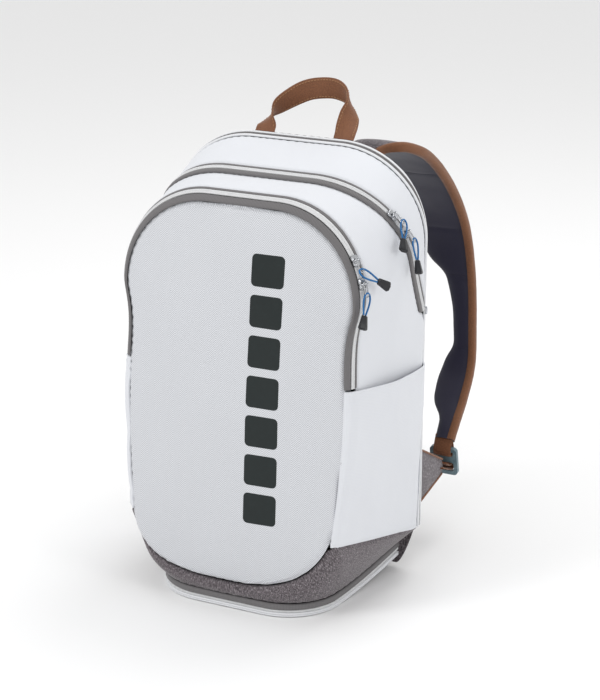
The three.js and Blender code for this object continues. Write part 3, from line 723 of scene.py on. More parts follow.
def panel_heights():
    """Heights of the panel's rows, crowded at the rounded ends, with one at the fold."""
    ARCH = 98  # height of the rounded top
    turns = np.linspace(math.radians(11), math.pi / 2, 28)
    foot = PANEL_BEND[1] - (PANEL_BEND[1] - PANEL_BOTTOM) * np.cos(turns) ** (2 / PANEL_ROUNDNESS[1])
    middle = np.linspace(foot[-1], LID_Z, 34)[1:]
    upper = np.linspace(LID_Z, PANEL_TOP - ARCH, 24)[1:]
    arch = PANEL_TOP - ARCH + ARCH * np.sin(np.linspace(0, math.pi / 2, 30))[1:]
    return np.concatenate((foot, middle, upper, arch))


def panel_layers():
    across = -np.cos(np.linspace(0, math.pi, 85))
    heights = panel_heights()
    grid = grid_of(panel_point, across, heights)
    distance = panel_edge_distance(grid)
    normals = grid_normals(grid)
    lift = rolled(distance, 6, 3.2) + 2.0 * noise_field(grid, (70, 70, 120), 2.0) * smooth(distance / 30)
    lift += 0.6 * noise_field(grid, (26, 26, 60), 9.0) * smooth(distance / 14)
    lift += puckers(grid, distance, 10, 0.6, 20)
    outer = grid + normals * lift[..., None]
    return heights, outer, normals, grid[..., ::2]


# Where the front panel and the lid's side fabric bend when they open, in the row frame
PANEL_FOLD = ((0, 0, (LID_Z - 50) * MM), (0, 0, LID_Z * MM))
FLAP_FOLD = ((0, 0, LID_Z * MM), (0, 0, (LID_Z + 40) * MM))
LID_CUT = np.array((0, -82.0, LID_Z))
LID_CUT_ACROSS = unit((0, -1.38, 1))
LID_FOLD = fold_between(*(LID_CUT + LID_CUT_ACROSS * reach for reach in (-14, 18)))


def add_front_panel():
    heights, outer, normals, uvs = panel_layers()
    inner = outer - normals * CLOTH
    fold = int(np.argmin(np.abs(heights - LID_Z)))
    for name, rows, bodies, place, node in (
        ("panel_lower_cloth", slice(0, fold + 1), ("bag_body", "main_lid"), PANEL_FOLD, "front_panel_lower"),
        ("flap_cloth", slice(fold, None), ("main_lid", "front_pocket_flap"), FLAP_FOLD, "front_flap"),
    ):
        made = layered(name, outer[rows], inner[rows], uvs[rows], "herringbone")
        bend(made, *bodies, place, "white_fabric", node)
    add_print(heights, outer, normals)


def on_panel(x, z, heights, outer, normals, proud):
    """A point standing proud of the finished panel, at an x and a height."""
    row = int(np.clip(np.searchsorted(heights, z) - 1, 0, len(heights) - 2))
    share = (z - heights[row]) / (heights[row + 1] - heights[row])
    ends = [[np.interp(x, outer[k][:, 0], (outer[k] + proud * normals[k])[:, axis]) for axis in range(3)]
            for k in (row, row + 1)]
    return lerp(*np.array(ends), share)


def add_print(heights, outer, normals):
    """A plain column of dark printed blocks up the front."""
    LEFT, RIGHT, FOOT, TOP = 22, 60, 108, 402
    COUNT, SPACE, ROUND, PROUD = 7, 9, 5, 0.12
    pitch = (TOP - FOOT + SPACE) / COUNT
    for i in range(COUNT):
        low = FOOT + i * pitch
        high = low + pitch - SPACE

        def surface(a, b):
            x, z = lerp(LEFT, RIGHT, a), lerp(low, high, b)
            corner_x = max(0, ROUND - min(x - LEFT, RIGHT - x))
            corner_z = max(0, ROUND - min(z - low, high - z))
            if corner_x and corner_z:
                shrink = ROUND / max(math.hypot(corner_x, corner_z), ROUND)
                x += math.copysign(corner_x * (1 - shrink), (LEFT + RIGHT) / 2 - x)
                z += math.copysign(corner_z * (1 - shrink), (low + high) / 2 - z)
            return on_panel(x, z, heights, outer, normals, PROUD)

        made = sew(f"print_block_{i + 1}", grid_of(surface, even(16), even(16)), "print", thickness=0.1)
        if high < LID_Z:
            bend(made, "bag_body", "main_lid", PANEL_FOLD, "black_plastic")
        else:
            bend(made, "main_lid", "front_pocket_flap", FLAP_FOLD, "black_plastic")


# Zips


def pulled_in(grid, insets):
    """Rows of an arch grid moved in towards the bag's middle, by one inset for each row."""
    along = np.gradient(grid, axis=1)
    outward = unit(np.stack((-along[..., 2], np.zeros(along.shape[:2]), along[..., 0]), axis=2))
    return grid - outward * np.asarray(insets)[:, None, None]


def corner_inset(depth):
    """How far the front edge's rounded corner stands in from the side, at a depth behind the front face."""
    return PANEL_INSET * (1 - np.sin(np.clip(depth / EDGE_ROUND, 0, 1) * math.pi / 2))


def zip_strip(name, line, height, span, material, lift, columns, rows, corner=False):
    """A strip over the arch; its span is two offsets from a zip's middle line."""
    near, far = span
    shares = even(rows)
    grid = arch_grid(offset(line, near), offset(line, far), (height, height), columns, shares)
    if corner:
        grid = pulled_in(grid, corner_inset(lerp(near, far, shares) + FRONT_ZIP_MIDDLE))
    return sew(name, grid, material, lift(*runs(grid)), thickness=1.1)


def domed(height, edge=1.0, drop=1.2):
    """Lift across a strip: raised by a height, and turned down over an edge at both sides."""
    return lambda along, up: height - drop * (1 - smooth(np.minimum(up, up[-1:] - up) / edge))


def toothed(height, pitch=1.3, depth=0.35):
    """Lift of a coil: teeth across the strip, with a groove up its middle."""
    def lift(along, up):
        across = up / np.maximum(up[-1:], 1e-6)
        teeth = depth * np.sin(2 * math.pi * along / pitch)
        groove = 0.5 * np.exp(-(((across - 0.5) / 0.07) ** 2))
        crown = np.sin(math.pi * np.clip(across, 0.02, 0.98)) ** 0.5
        return height * crown + teeth * crown - groove

    return lift


def add_zip(name, line, height, near, corner=False):
    """Both halves of a zip: its wide front band, and the painted-shade strip, the coil and the tape behind."""
    band = zip_strip(f"{name}_band", line, height, (near, BAND_FAR), "grey", domed(0.9), 300, 8, corner)
    rear = []
    # The first strip is painted shade: near-black cloth sunk under the gap between the band and the coil, where
    # shadow falls
    for part, span, material, lift, columns, rows in (
        ("backing", (-3.4, 0.4), "black", lambda along, up: -1.1, 160, 2),
        ("coil", (COIL_NEAR, COIL_FAR), "coil", toothed(0.9), 1300, 8),
        ("tape", (COIL_FAR + 0.1, TAPE_FAR), "grey", domed(0.3, 0.8), 300, 5),
    ):
        on_corner = corner and part == "backing"
        rear.append(zip_strip(f"{name}_{part}", line, height, span, material, lift, columns, rows, on_corner))
    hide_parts(name)
    return band, rear


def add_front_zip():
    band, rear = add_zip("front_zip", offset(front_y, FRONT_ZIP_MIDDLE), LID_Z, -FRONT_ZIP_MIDDLE, corner=True)
    bend(band, "main_lid", "front_pocket_flap", FLAP_FOLD, "grey_tape")
    for made in rear:
        bend(made, "bag_body", "main_lid", LID_FOLD, "grey_tape")


def add_main_zip():
    band, rear = add_zip("main_zip", main_zip_y, MAIN_ZIP_END, BAND_NEAR)
    bend(band, "bag_body", "main_lid", LID_FOLD, "grey_tape")
    for made in rear:
        place_on("bag_body", made, "grey_tape")


def add_rear_zip():
    """The rear seam: white piping each side of a narrow grey zip."""
    FOOT, REACH, BEAD = 56, 3.4, 1.5
    strip = zip_strip("rear_zip_coil", rear_seam_y, FOOT, (-2.2, 2.2), "grey", toothed(0.2), 1900, 6)
    place_on("bag_body", strip, "grey_tape", "rear_zip")
    for name, by in (("front", -REACH), ("back", REACH)):
        line = arch_line(offset(rear_seam_y, by), FOOT, 400)
        inward = unit((0, line[:, 1].mean(), 250) - line)
        piping = loop_tube(f"rear_piping_{name}", line + inward * 0.4, BEAD, "piping")
        place_on("bag_body", piping, "white_fabric")


# Gussets and sides


def side_foot(y):
    return table([(-112, 93), (8, 68), (80, 54)], y)


def sewn_arch(name, near, far, feet, material, columns, rows, wrinkle, seed):
    """A gusset over the arch, with its long edges sewn in."""
    grid = arch_grid(near, far, feet, columns, crowded(rows))
    distance = border(grid, "bt")
    lift = rolled(distance) + puckers(grid, distance, 9, 0.3, 12)
    lift += wrinkle * noise_field(grid, (60, 60, 110), seed) * smooth(distance / 25)
    lift += 0.35 * wrinkle * noise_field(grid, (22, 22, 50), seed + 3) * smooth(distance / 10)
    return sew(name, grid, material, lift)


def add_gussets():
    near = offset(front_y, FRONT_ZIP_MIDDLE + TAPE_FAR)

    def far(z):
        """The rear seam below the main zip's end, and the main zip above it."""
        share = float(smooth((z - 311) / 7))
        return lerp(rear_seam_y(z) - 5, main_zip_y(z) + BAND_NEAR, share)

    gusset = sewn_arch("lid_and_side_cloth", near, far, (93, 56), "white", 300, 26, 1.6, 4.0)
    bend(gusset, "bag_body", "main_lid", LID_FOLD, "white_fabric", "lid_gusset", "side_left", "side_right")
    near, far = offset(main_zip_y, TAPE_FAR), offset(rear_seam_y, -5)
    top = sewn_arch("top_cloth", near, far, (312, 312), "white", 240, 18, 0.8, 8.0)
    place_on("bag_body", top, "white_fabric", "top_gusset")
    near = offset(rear_seam_y, 4.4)
    back = sewn_arch("back_gusset_cloth", near, lambda z: BACK_Y - 1, (58, 58), "melange", 240, 8, 0.4, 1.0)
    place_on("bag_body", back, "melange_fabric", "back_gusset")


# Slot pockets

POCKET_MOUTH = [(-100, 265), (66, 254)]
POCKET_BACK = 66


def pocket_grid(side):
    edge = EDGE_ROUND * (1 - np.cos(np.linspace(0, math.pi / 2, 7)))
    back = np.linspace(EDGE_ROUND, POCKET_BACK - FRONT_FOOT_Y, 40)[1:]

    def point(y_behind, b):
        z = POCKET_MOUTH[0][1]
        for _ in range(4):
            y = min(front_y(z) + y_behind, POCKET_BACK)
            z = lerp(side_foot(y) + 1, table(POCKET_MOUTH, y), b)
        loose = math.sin(math.pi * clamp(y_behind / (POCKET_BACK - FRONT_FOOT_Y - 10))) ** 0.8
        bulge = 1.2 + loose * (7 * b**1.5 + 3 * math.sin(math.pi * b))
        x = skin_half_width(y, z) - corner_inset(y - front_y(z)) + bulge * smooth(y_behind / 12)
        return side * x, y, z

    return grid_of(point, np.concatenate((edge, back)), crowded(30))


def add_side_pockets():
    for side, name in ((-1, "left"), (1, "right")):
        grid = pocket_grid(side)
        distance = border(grid, "lrb")
        lift = rolled(distance, 5, 1.8) + puckers(grid, border(grid, "l"), 8, 0.9, 26)
        lift += 2.2 * noise_field(grid, (40, 60, 80), 6.0 + side) * smooth(distance / 25)
        lift += 1.0 * noise_field(grid, (40, 24, 50), 16.0 + side) * smooth(distance / 12)
        pocket = sew(f"side_pocket_cloth_{name}", grid, "white", lift)
        place_on("bag_body", pocket, "white_fabric", f"side_pocket_{name}")
        rim = (grid + grid_normals(grid) * (lift[..., None] - CLOTH / 2))[-1]
        hem = loop_tube(f"side_pocket_hem_{name}", rim[1:-1], 1.25, "white")
        place_on("bag_body", hem, "white_fabric")


# Base

BASE_FRONT_Y, BASE_BACK_Y = -112, 74
BASE_HALF_WIDTH, BASE_CORNER = 104, 62
BASE_SPREAD, BASE_RISE = 14, 16  # wider and higher towards the back
# Round the foot the turn runs from 0 at the front's middle, round a corner, to 1 or -1 at the rear
FOOT_FLAT_END, FOOT_ARC_END = 0.3, 0.6
BAND_CORNER_TURN = math.radians(68)
BASE_ZIP_FOOT, BASE_ZIP_TOP = 5.6, 11.6
BAND_FOOT = BASE_ZIP_TOP + 3.4


def back_run(turn):
    """How far a turn is along the straight side: 0 at the corner's end, 1 at the rear."""
    return (abs(turn) - FOOT_ARC_END) / (1 - FOOT_ARC_END)


def foot_ring(turn, z, inset=0.0):
    """The foot's outline at a turn."""
    run, side = abs(turn), math.copysign(1, turn)
    corner = BASE_CORNER - inset
    centre_x, centre_y = BASE_HALF_WIDTH - BASE_CORNER, BASE_FRONT_Y + BASE_CORNER
    if run < FOOT_FLAT_END:
        x, y = centre_x * run / FOOT_FLAT_END, BASE_FRONT_Y + inset
    elif run < FOOT_ARC_END:
        angle = (run - FOOT_FLAT_END) / (FOOT_ARC_END - FOOT_FLAT_END) * math.pi / 2
        x, y = centre_x + corner * math.sin(angle), centre_y - corner * math.cos(angle)
    else:
        x = BASE_HALF_WIDTH + BASE_SPREAD * back_run(turn) - inset
        y = lerp(centre_y, BASE_BACK_Y, back_run(turn))
    return np.array((side * x, y, z))


def foot_rise(turn):
    return BASE_RISE * max(0, back_run(turn)) ** 1.5


def band_top(turn):
    """The band's upper edge, along the foot of the front panel and of the sides."""
    run, side = abs(turn), 1 if turn > 0 else -1
    if run < FOOT_ARC_END:
        angle = run / FOOT_ARC_END * BAND_CORNER_TURN
        bend_z, power = PANEL_BEND[side], PANEL_ROUNDNESS[side]
        z = bend_z - (bend_z - PANEL_BOTTOM) * math.cos(angle) ** (2 / power)
        out = skin_half_width(front_y(z), z) * math.sin(angle) ** (2 / power)
        return np.array((side * out, front_y(z) + 1.5 + 5.5 * math.sin(angle) ** 2, z + 1.5))
    y = lerp(front_y(88) + 7, rear_seam_y(60) - 4, back_run(turn))
    z = side_foot(y)
    return np.array((side * (skin_half_width(y, z) + 0.4), y, z))


def base_strip(name, low, high, inset, material, lift, columns=220):
    """A strip round the foot."""

    def point(a, b):
        turn = 2 * a - 1
        return foot_ring(turn, lerp(low, high, b) + foot_rise(turn), inset)

    grid = grid_of(point, even(columns), even(6))
    return place_on("bag_body", sew(name, grid, material, lift(*runs(grid))), "grey_tape")


def add_base():
    def band_point(a, b):
        turn = 2 * a - 1
        point = lerp(foot_ring(turn, BAND_FOOT + foot_rise(turn)), band_top(turn), b)
        out = unit((point[0], point[1], 0))
        return point + out * 6 * math.sin(math.pi * b) * min(1, 3 * (1 - abs(turn)))

    grid = grid_of(band_point, even(160), crowded(22))
    distance = border(grid, "bt")
    lift = rolled(distance, 4, 2.2) + puckers(grid, distance, 12, 0.4, 16)
    lift += 1.2 * noise_field(grid, (50, 50, 30), 12.0) * smooth(distance / 16)
    place_on("bag_body", sew("base_band_cloth", grid, "melange", lift), "melange_fabric", "base_band")
    base_strip("base_tape", BASE_ZIP_TOP - 2.8, BAND_FOOT + 0.8, -2, "grey", domed(0.8))
    coil = base_strip("base_coil", BASE_ZIP_FOOT + 0.4, BASE_ZIP_TOP - 3.2, -1.2, "coil", toothed(0.8), 1100)
    # Painted shade: a near-black strip sunk behind the base zip's coil stands in for the shadow in its gaps
    base_strip("base_backing", BASE_ZIP_FOOT, BASE_ZIP_TOP, 0.6, "black", lambda along, up: 0.0)
    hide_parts("base_zip")
    add_tray()
    add_heel()


def add_tray():
    """The bottom: a white rim with a thin dark line in it, on a dark sole."""
    # The rim's section: how far in from the foot's outline, and height
    RIM = [(0.4, 5.4), (-1.6, 5.4), (-2.5, 4.7), (-2.5, 3.9), (-1.4, 3.4)]
    RIM += [(-1.4, 3.0), (-2.5, 2.5), (-2.3, 1.3), (-1, 0.8)]
    # The sole's section: share of the foot's outline, and height
    SOLE = [(1, 1.2), (1, 0.4), (0.97, 0.0), (0.86, 0.0), (0.6, 0.0), (0.3, 0.0), (0.02, 0.0)]
    MIDDLE = (0, -20)

    def ring(inset, z):
        return np.array([foot_ring(turn, z + 0.9 * foot_rise(turn), inset) for turn in np.linspace(-1, 1, 161)])

    rim = sew("tray_rim", np.array([ring(inset, z) for inset, z in RIM]), "piping", thickness=1.4)
    place_on("bag_body", rim, "white_fabric")
    rows = []
    for size, z in SOLE:
        edge = ring(0.6, z)
        level = z + (edge[:, 2:] - z) * size**2
        rows.append(np.hstack((lerp(np.array(MIDDLE), edge[:, :2], size), level)))
    sole = sew("tray_sole", np.array(rows), "melange", thickness=1.0, inside=(*MIDDLE, 100))
    place_on("bag_body", sole, "melange_fabric", "base_tray")


def add_heel():
    def point(a, b):
        y = lerp(BASE_BACK_Y + 1, BACK_Y - 3, b**0.8)
        return (2 * a - 1) * lerp(117, 139, b), y, lerp(4, 58, b**1.6)

    grid = grid_of(point, even(60), crowded(16))
    distance = border(grid, "lrbt")
    lift = rolled(distance) + 1.0 * noise_field(grid, 45, 3.0) * smooth(distance / 20)
    heel = sew("heel_cloth", grid, "melange", lift, inside=(0, 0, 200))
    place_on("bag_body", heel, "melange_fabric", "base_heel")


# Back and inner pieces

PAD_CHANNELS = (170, 255, 340)
WALL_REACH = 2.2  # the pocket wall's edge is caught in the front zip's seam


def flat_sheet(name, node, material, slot, share, inset, foot, face, relief):
    """A sheet in the bag's outline at a share of its depth, facing the wearer."""
    station = station_at(share)
    top = station[1]
    straight = np.linspace(foot, top - CORNER, 40)
    arch = top - CORNER + (CORNER - inset) * np.sin(np.linspace(0, math.pi / 2, 26))[1:]
    across = -np.cos(np.linspace(0, math.pi, 61))
    heights = np.concatenate((straight, arch))
    grid = grid_of(lambda a, z: (a * half_width_at(station, z, inset), face, z), across, heights)
    distance = np.minimum(border(grid, "lr"), top - inset - grid[..., 2])
    lift = rolled(distance, 6, 2.4) + relief * noise_field(grid, (70, 70, 90), 5.0)
    place_on("bag_body", sew(name, grid, material, lift, thickness=1.4), slot, node)


def add_back():
    flat_sheet("back_panel_cloth", "back_panel", "melange", "melange_fabric", 1.0, 0, 58, BACK_Y + 0.4, 0.5)
    flat_sheet("divider_cloth", "divider", "lining", "lining_fabric", 0.83, 9, 70, 44, 0.8)
    for side, name in ((-1, "left"), (1, "right")):
        add_back_pad(side, name)
    for node in ("back_board", "base_board"):
        dress(node, "board")


def dress(node, material):
    """Gives a CAD node a finish, and a weave map laid on its two longest ways."""
    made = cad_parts[node]
    mesh = made.data
    layer = mesh.uv_layers.get("weave") or mesh.uv_layers.new(name="weave")
    points = np.array([vertex.co for vertex in mesh.vertices])
    ways = np.argsort(np.ptp(points, axis=0))[::-1][:2]
    corners = np.zeros(len(mesh.loops), int)
    mesh.loops.foreach_get("vertex_index", corners)
    layer.data.foreach_set("uv", points[corners][:, ways].ravel())
    for place in made.material_slots:
        place.material = MATERIALS[material]
    if not made.material_slots:
        mesh.materials.append(MATERIALS[material])
    return made


def add_back_pad(side, name):
    """A long foam pad under mesh, pressed down along cross channels."""

    def point(a, b):
        x, z = lerp(17, 99, a), lerp(101, 419, b)
        fullness = (4 * a * (1 - a)) ** 0.45 * (4 * b * (1 - b)) ** 0.25
        channel = min(abs(z - c) for c in PAD_CHANNELS)
        press = 1 - 0.55 * math.exp(-((channel / 5) ** 2))
        return side * x, BACK_Y + 1 + 11.5 * fullness * press, z

    grid = grid_of(point, crowded(28), crowded(110))
    lift = 0.4 * noise_field(grid, (25, 25, 40), 7.0)
    pad = sew(f"back_pad_cover_{name}", grid, "mesh", lift, thickness=1.2, inside=(side * 58, 0, 260))
    place_on("bag_body", pad, "back_foam", f"back_pad_{name}")


def pocket_wall(part, low, high):
    def point(a, b):
        z = lerp(low, high, b)
        return (2 * a - 1) * (panel_half_width(z) + WALL_REACH), front_y(z) + 9, z

    grid = grid_of(point, even(60), even(30))
    return sew(f"pocket_lining_{part}", grid, "lining", 0.8 * noise_field(grid, 60, 4.0), thickness=0.9)


def add_pocket_walls():
    lower, upper = pocket_wall("lower", 92, LID_Z - 1), pocket_wall("upper", LID_Z - 1, FRONT_TOP - 4.5)
    bend(lower, "bag_body", "main_lid", PANEL_FOLD, "lining_fabric", "pocket_wall_lower")
    place_on("main_lid", upper, "lining_fabric", "pocket_wall_upper")


# Webbing


def strip_frames(line, normals):
    """Normals squared to a line, and the directions across it."""
    tangents = unit(np.gradient(line, axis=0))
    normals = unit(normals - tangents * np.sum(normals * tangents, axis=1, keepdims=True))
    return normals, np.cross(tangents, normals)


def webbing(name, line, normals, width, thickness, material):
    """A flat woven strap along a line, with soft edges; normals point out of its face."""
    normals, across = strip_frames(line, normals)
    shares = crowded(12)
    thick = thickness / 2 * np.maximum(1 - np.abs(2 * shares - 1) ** 8, 0.15) ** 0.5
    middle = line[:, None] + across[:, None] * ((shares - 0.5) * width)[:, None]
    lift = normals[:, None] * thick[:, None]
    uvs = np.stack(np.broadcast_arrays(run_along(line)[:, None], shares * width), axis=2)
    return layered(name, middle + lift, middle - lift, uvs, material)


def stitches(name, line, normals, material, pitch=3.6, length=2.6, radius=0.32):
    """A row of short threads lying along a line, each sunk a little into the cloth at its ends."""
    SIDES = 6
    SIZES, HEIGHTS = (0.45, 1, 1, 0.45), (-0.2, 0.7, 0.7, -0.2)
    run = run_along(line)
    points, faces, uvs = [], [], []
    for start in np.arange(pitch / 2, run[-1] - length, pitch):
        places = np.linspace(start, start + length, len(SIZES))
        centres, ups = sampled(line, run, places), unit(sampled(normals, run, places))
        tangent = unit(centres[-1] - centres[0])
        faces += ring_faces(len(SIZES), SIDES, len(points))
        for place, centre, up, size, height in zip(places, centres, ups, SIZES, HEIGHTS):
            side = np.cross(tangent, up)
            for angle in 2 * math.pi * np.arange(SIDES) / SIDES:
                round_thread = size * (math.cos(angle) * side + math.sin(angle) * up)
                points.append(centre + radius * (up * height + round_thread))
                uvs.append((place, radius * angle))
    return new_object(name, points, faces, uvs, material)


# Carry handle

HANDLE_LEAN = math.radians(38)
HANDLE_FOOT = (64, 502)
HANDLE_WIDTH = 24
# Along the handle: x, height up its leaning plane, and the way its outer face looks
HANDLE_ROUTE = [
    (-45, -7, (0, -1, 0)),
    (-45, 1, (-0.1, -1, 0)),
    (-44, 12, (-0.75, -0.65, 0)),
    (-38, 25, (-0.95, 0.2, 0.1)),
    (-26, 37, (-0.7, 0.7, 0.2)),
    (-10, 48, (-0.25, 0.95, 0.15)),
    (6, 52.5, (0, 1, 0.1)),
    (24, 53, (0.1, 0.98, 0.15)),
    (38, 47, (0.55, 0.8, 0.25)),
    (47, 36, (0.95, 0.1, 0.1)),
    (50, 22, (0.7, -0.7, 0)),
    (51, 9, (0.35, -0.93, 0)),
    (51.5, 1, (0.1, -1, 0)),
    (51.5, -7, (0, -1, 0)),
]


def add_handle():
    up = np.array((0, math.sin(HANDLE_LEAN), math.cos(HANDLE_LEAN)))
    route = np.array([(*((x, *HANDLE_FOOT) + up * height), *unit(face)) for x, height, face in HANDLE_ROUTE])
    line, normals = spline(route[:, :3], 160), spline(route, 160)[:, 3:]
    strap = webbing("handle_webbing", line, normals, HANDLE_WIDTH, 2.2, "tan")
    place_on("carry_handle", strap, "tan_webbing", "carry_handle")
    normals, across = strip_frames(line, normals)
    for name, by in (("near", -1), ("far", 1)):
        for face, way in (("outer", 1), ("inner", -1)):
            row = line + across * by * (HANDLE_WIDTH / 2 - 2.4) + normals * way * 1.1
            thread = stitches(f"handle_stitches_{name}_{face}", row[4:-4], normals[4:-4] * way, "tan_thread")
            place_on("carry_handle", thread, "tan_webbing")


# Shoulder straps

# The pad's outer edge, from where it is sewn to the back to its tip
STRAP_EDGE = [
    (79, 86.5, 473),
    (86, 93, 480),
    (104, 104, 483),
    (114, 126, 476),
    (117, 158, 460),
    (120, 212, 415),
    (123, 248, 364),
    (126, 263, 305),
    (129, 264, 240),
    (132, 256, 192),
    (134, 229, 158),
    (135, 205, 136),
    (135, 191, 120),
]
# Width of the pad at shares of its length
STRAP_WIDTH = [(0, 44), (0.06, 62), (0.14, 70), (0.35, 72), (0.47, 66), (0.54, 56), (0.575, 36), (0.66, 28)]
STRAP_WIDTH += [(0.757, 27), (0.785, 36), (0.84, 42), (0.9, 40), (0.945, 24), (1, 22)]
STRAP_SEAMS = (0.24, 0.45, 0.578, 0.757)  # cross seams of the lining, at shares of its length
STRAP_THICK = 10
STRAP_MIDDLE = STRAP_THICK / 2 - 2.5  # the middle of its thickness, out from the edge line
STRAP_STEPS = 220
STRAP_LENGTH = 500  # from the back to the tip, along the outer edge
STRAP_ROOT_LENGTH = 12
STRAP_FOLD = fold_between((0, 87, 0), (0, 112, 0))
LEFT_DROP = 13  # the left strap lies lower where it leaves the back
# Webbing of the strap's lower end, as (y, z)
STRAP_WEBBING_X, STRAP_WEBBING = 124, 22
TAB_ROUTE = [(193, 124), (190, 117), (187.2, 110), (186.4, 104), (188.5, 100.2)]
TAB_ROUTE += [(192.6, 100.4), (195.6, 104), (196, 110), (194, 117), (195, 124)]
ADJUSTER_ROUTE = [(167, 92), (173, 90.5), (182, 86.5), (190, 83.5), (196, 82.4), (200.5, 84.6)]
ADJUSTER_ROUTE += [(200.2, 89), (196, 90.6), (190, 89.0), (183, 91), (176, 95.5)]
# The band that holds the strap's root: x, and how far it bows off the back
ANCHOR_BOW = [(42, 0), (53, 0.5), (64, 0.8), (75, 0.5), (86, 0)]
# The lower and upper corner of the wing's root, and of its tip
WING = np.array((((134, 86, 70), (134, 86, 145)), ((129, 176, 82), (129, 176, 100))))
WING_FOLD = fold_between((0, 90, 0), (0, 140, 0))


def loop_normals(line):
    """Normals of a line round the strap's loop, pointing out of the loop."""
    steps = np.gradient(line, axis=0)
    return unit(np.stack((np.zeros(len(line)), -steps[:, 2], steps[:, 1]), axis=1))


def strap_route(side):
    """Edge points, normals out of the loop, widths and shares of the length, from root to tip."""
    edge = spline([(side * x, y, z) for x, y, z in STRAP_EDGE], STRAP_STEPS)
    if side < 0:
        edge[:, 2] -= LEFT_DROP * (1 - smooth(np.linspace(-0.2, 3.2, STRAP_STEPS + 1)))
    run = np.linspace(0, STRAP_LENGTH, STRAP_STEPS + 1)
    shares = (run - STRAP_ROOT_LENGTH) / (STRAP_LENGTH - STRAP_ROOT_LENGTH)
    widths = np.array([table(STRAP_WIDTH, share) for share in shares])
    widths = np.convolve(np.pad(widths, 3, mode="edge"), np.ones(7) / 7, mode="valid")
    return edge, loop_normals(edge), widths, shares


def strap_shell(side, inner):
    """Half of the pad's shell as a grid: the lining inside the loop, or the cover outside it."""
    edge, normals, widths, shares = strap_route(side)
    across = crowded(26)
    press = np.ones(len(shares))
    if inner:
        for seam in STRAP_SEAMS:
            press -= 0.5 * np.exp(-(((shares - seam) * STRAP_LENGTH / 3.2) ** 2))
    fullness = (4 * across * (1 - across)) ** 0.35 * (STRAP_THICK / 2 - 0.6 + 1.4 * press[:, None])
    height = STRAP_MIDDLE + fullness * (-1 if inner else 0.86)
    grid = edge[:, None] + normals[:, None] * height[..., None]
    grid[..., 0] -= side * across * widths[:, None]
    return grid


def add_strap(side, name):
    body = f"strap_{name}"
    _, normals, _, shares = strap_route(side)

    def own(made, slot, *nodes):
        return bend(made, "bag_body", body, STRAP_FOLD, slot, *nodes)

    shell = strap_shell(side, True)
    facing = np.sign(np.sum(grid_normals(shell) * normals[:, None]))
    lift = -facing * 0.45 * noise_field(shell, (16, 16, 30), 3.0)
    lining = sew(f"strap_lining_{name}", shell, "navy", lift, thickness=1.0, inside=(side * 90, 650, 300))
    own(lining, "navy_padding", f"strap_pad_{name}")
    cover = sew(f"strap_cover_cloth_{name}", strap_shell(side, False), "melange", thickness=1.0,
                inside=(side * 90, 60, 250))
    own(cover, "melange_fabric", f"strap_cover_{name}")
    add_binding(side, name, own)
    for seam in STRAP_SEAMS:
        i = int(np.argmin(np.abs(shares - seam)))
        row = shell[i, 3:-3]
        out = np.repeat(-normals[i : i + 1], len(row), axis=0)
        own(stitches(f"strap_seam_{name}_{int(seam * 100)}", row, out, "navy", 3.0, 2.2, 0.3), "navy_padding")
    add_strap_foot(side, name, body)


def add_binding(side, name, own):
    """Tape folded over the strap's outer edge, from the lining to the cover."""
    LIP = 6
    low, high = STRAP_MIDDLE - STRAP_THICK / 2 - 0.9, STRAP_MIDDLE + STRAP_THICK / 2 - 0.3
    profile = [(LIP, low), (LIP * 0.6, low - 0.5), (1.5, low - 0.3), (-0.8, low + 0.9)]
    profile += [(-1.8, lerp(low, high, 0.3)), (-1.8, lerp(low, high, 0.7))]
    profile += [(-0.8, high - 0.9), (1.5, high + 0.3), (LIP * 0.6, high + 0.5), (LIP, high)]
    profile = resampled(np.array(profile), 26)
    edge, normals = strap_route(side)[:2]
    grid = np.array([edge + normals * height - (side * across, 0, 0) for across, height in profile])
    lift = 0.15 * noise_field(grid, 8, 2.0)
    tape = sew(f"strap_binding_{name}", grid, "binding", lift, thickness=0.8, inside=(side * 90, 150, 300))
    own(tape, "tan_webbing")


def foot_webbing(name, side, route, count):
    line = spline([(side * STRAP_WEBBING_X, y, z) for y, z in route], count)
    return webbing(name, line, loop_normals(line), STRAP_WEBBING, 1.8, "tan")


def add_strap_foot(side, name, body):
    """The tab into the ladder lock, the lock, the adjuster webbing, the root's band and the wing."""
    tab = foot_webbing(f"strap_tab_webbing_{name}", side, TAB_ROUTE, 60)
    place_on(body, tab, "tan_webbing", f"strap_tab_{name}")
    adjuster = foot_webbing(f"adjuster_loop_{name}", side, ADJUSTER_ROUTE, 90)
    place_on(body, adjuster, "tan_webbing", f"adjuster_webbing_{name}")
    anchor = spline([(side * x, BACK_Y + 4 + bow, 468) for x, bow in ANCHOR_BOW], 24)
    out = np.repeat([(0, 1, 0)], len(anchor), axis=0)
    band = webbing(f"strap_anchor_band_{name}", anchor, out, 12, 4.2, "tan")
    place_on("bag_body", band, "tan_webbing", f"strap_anchor_{name}")
    soften(dress(f"ladder_lock_{name}", "slate"), 0.9)
    add_wing(side, name, body)


def soften(made, width):
    """Rounds a hard piece's edges; width in mm."""
    bevel = made.modifiers.new("edges", "BEVEL")
    bevel.width = width * MM
    bevel.segments = 3
    bevel.limit_method = "ANGLE"
    bevel.angle_limit = math.radians(35)
    bevel.harden_normals = True


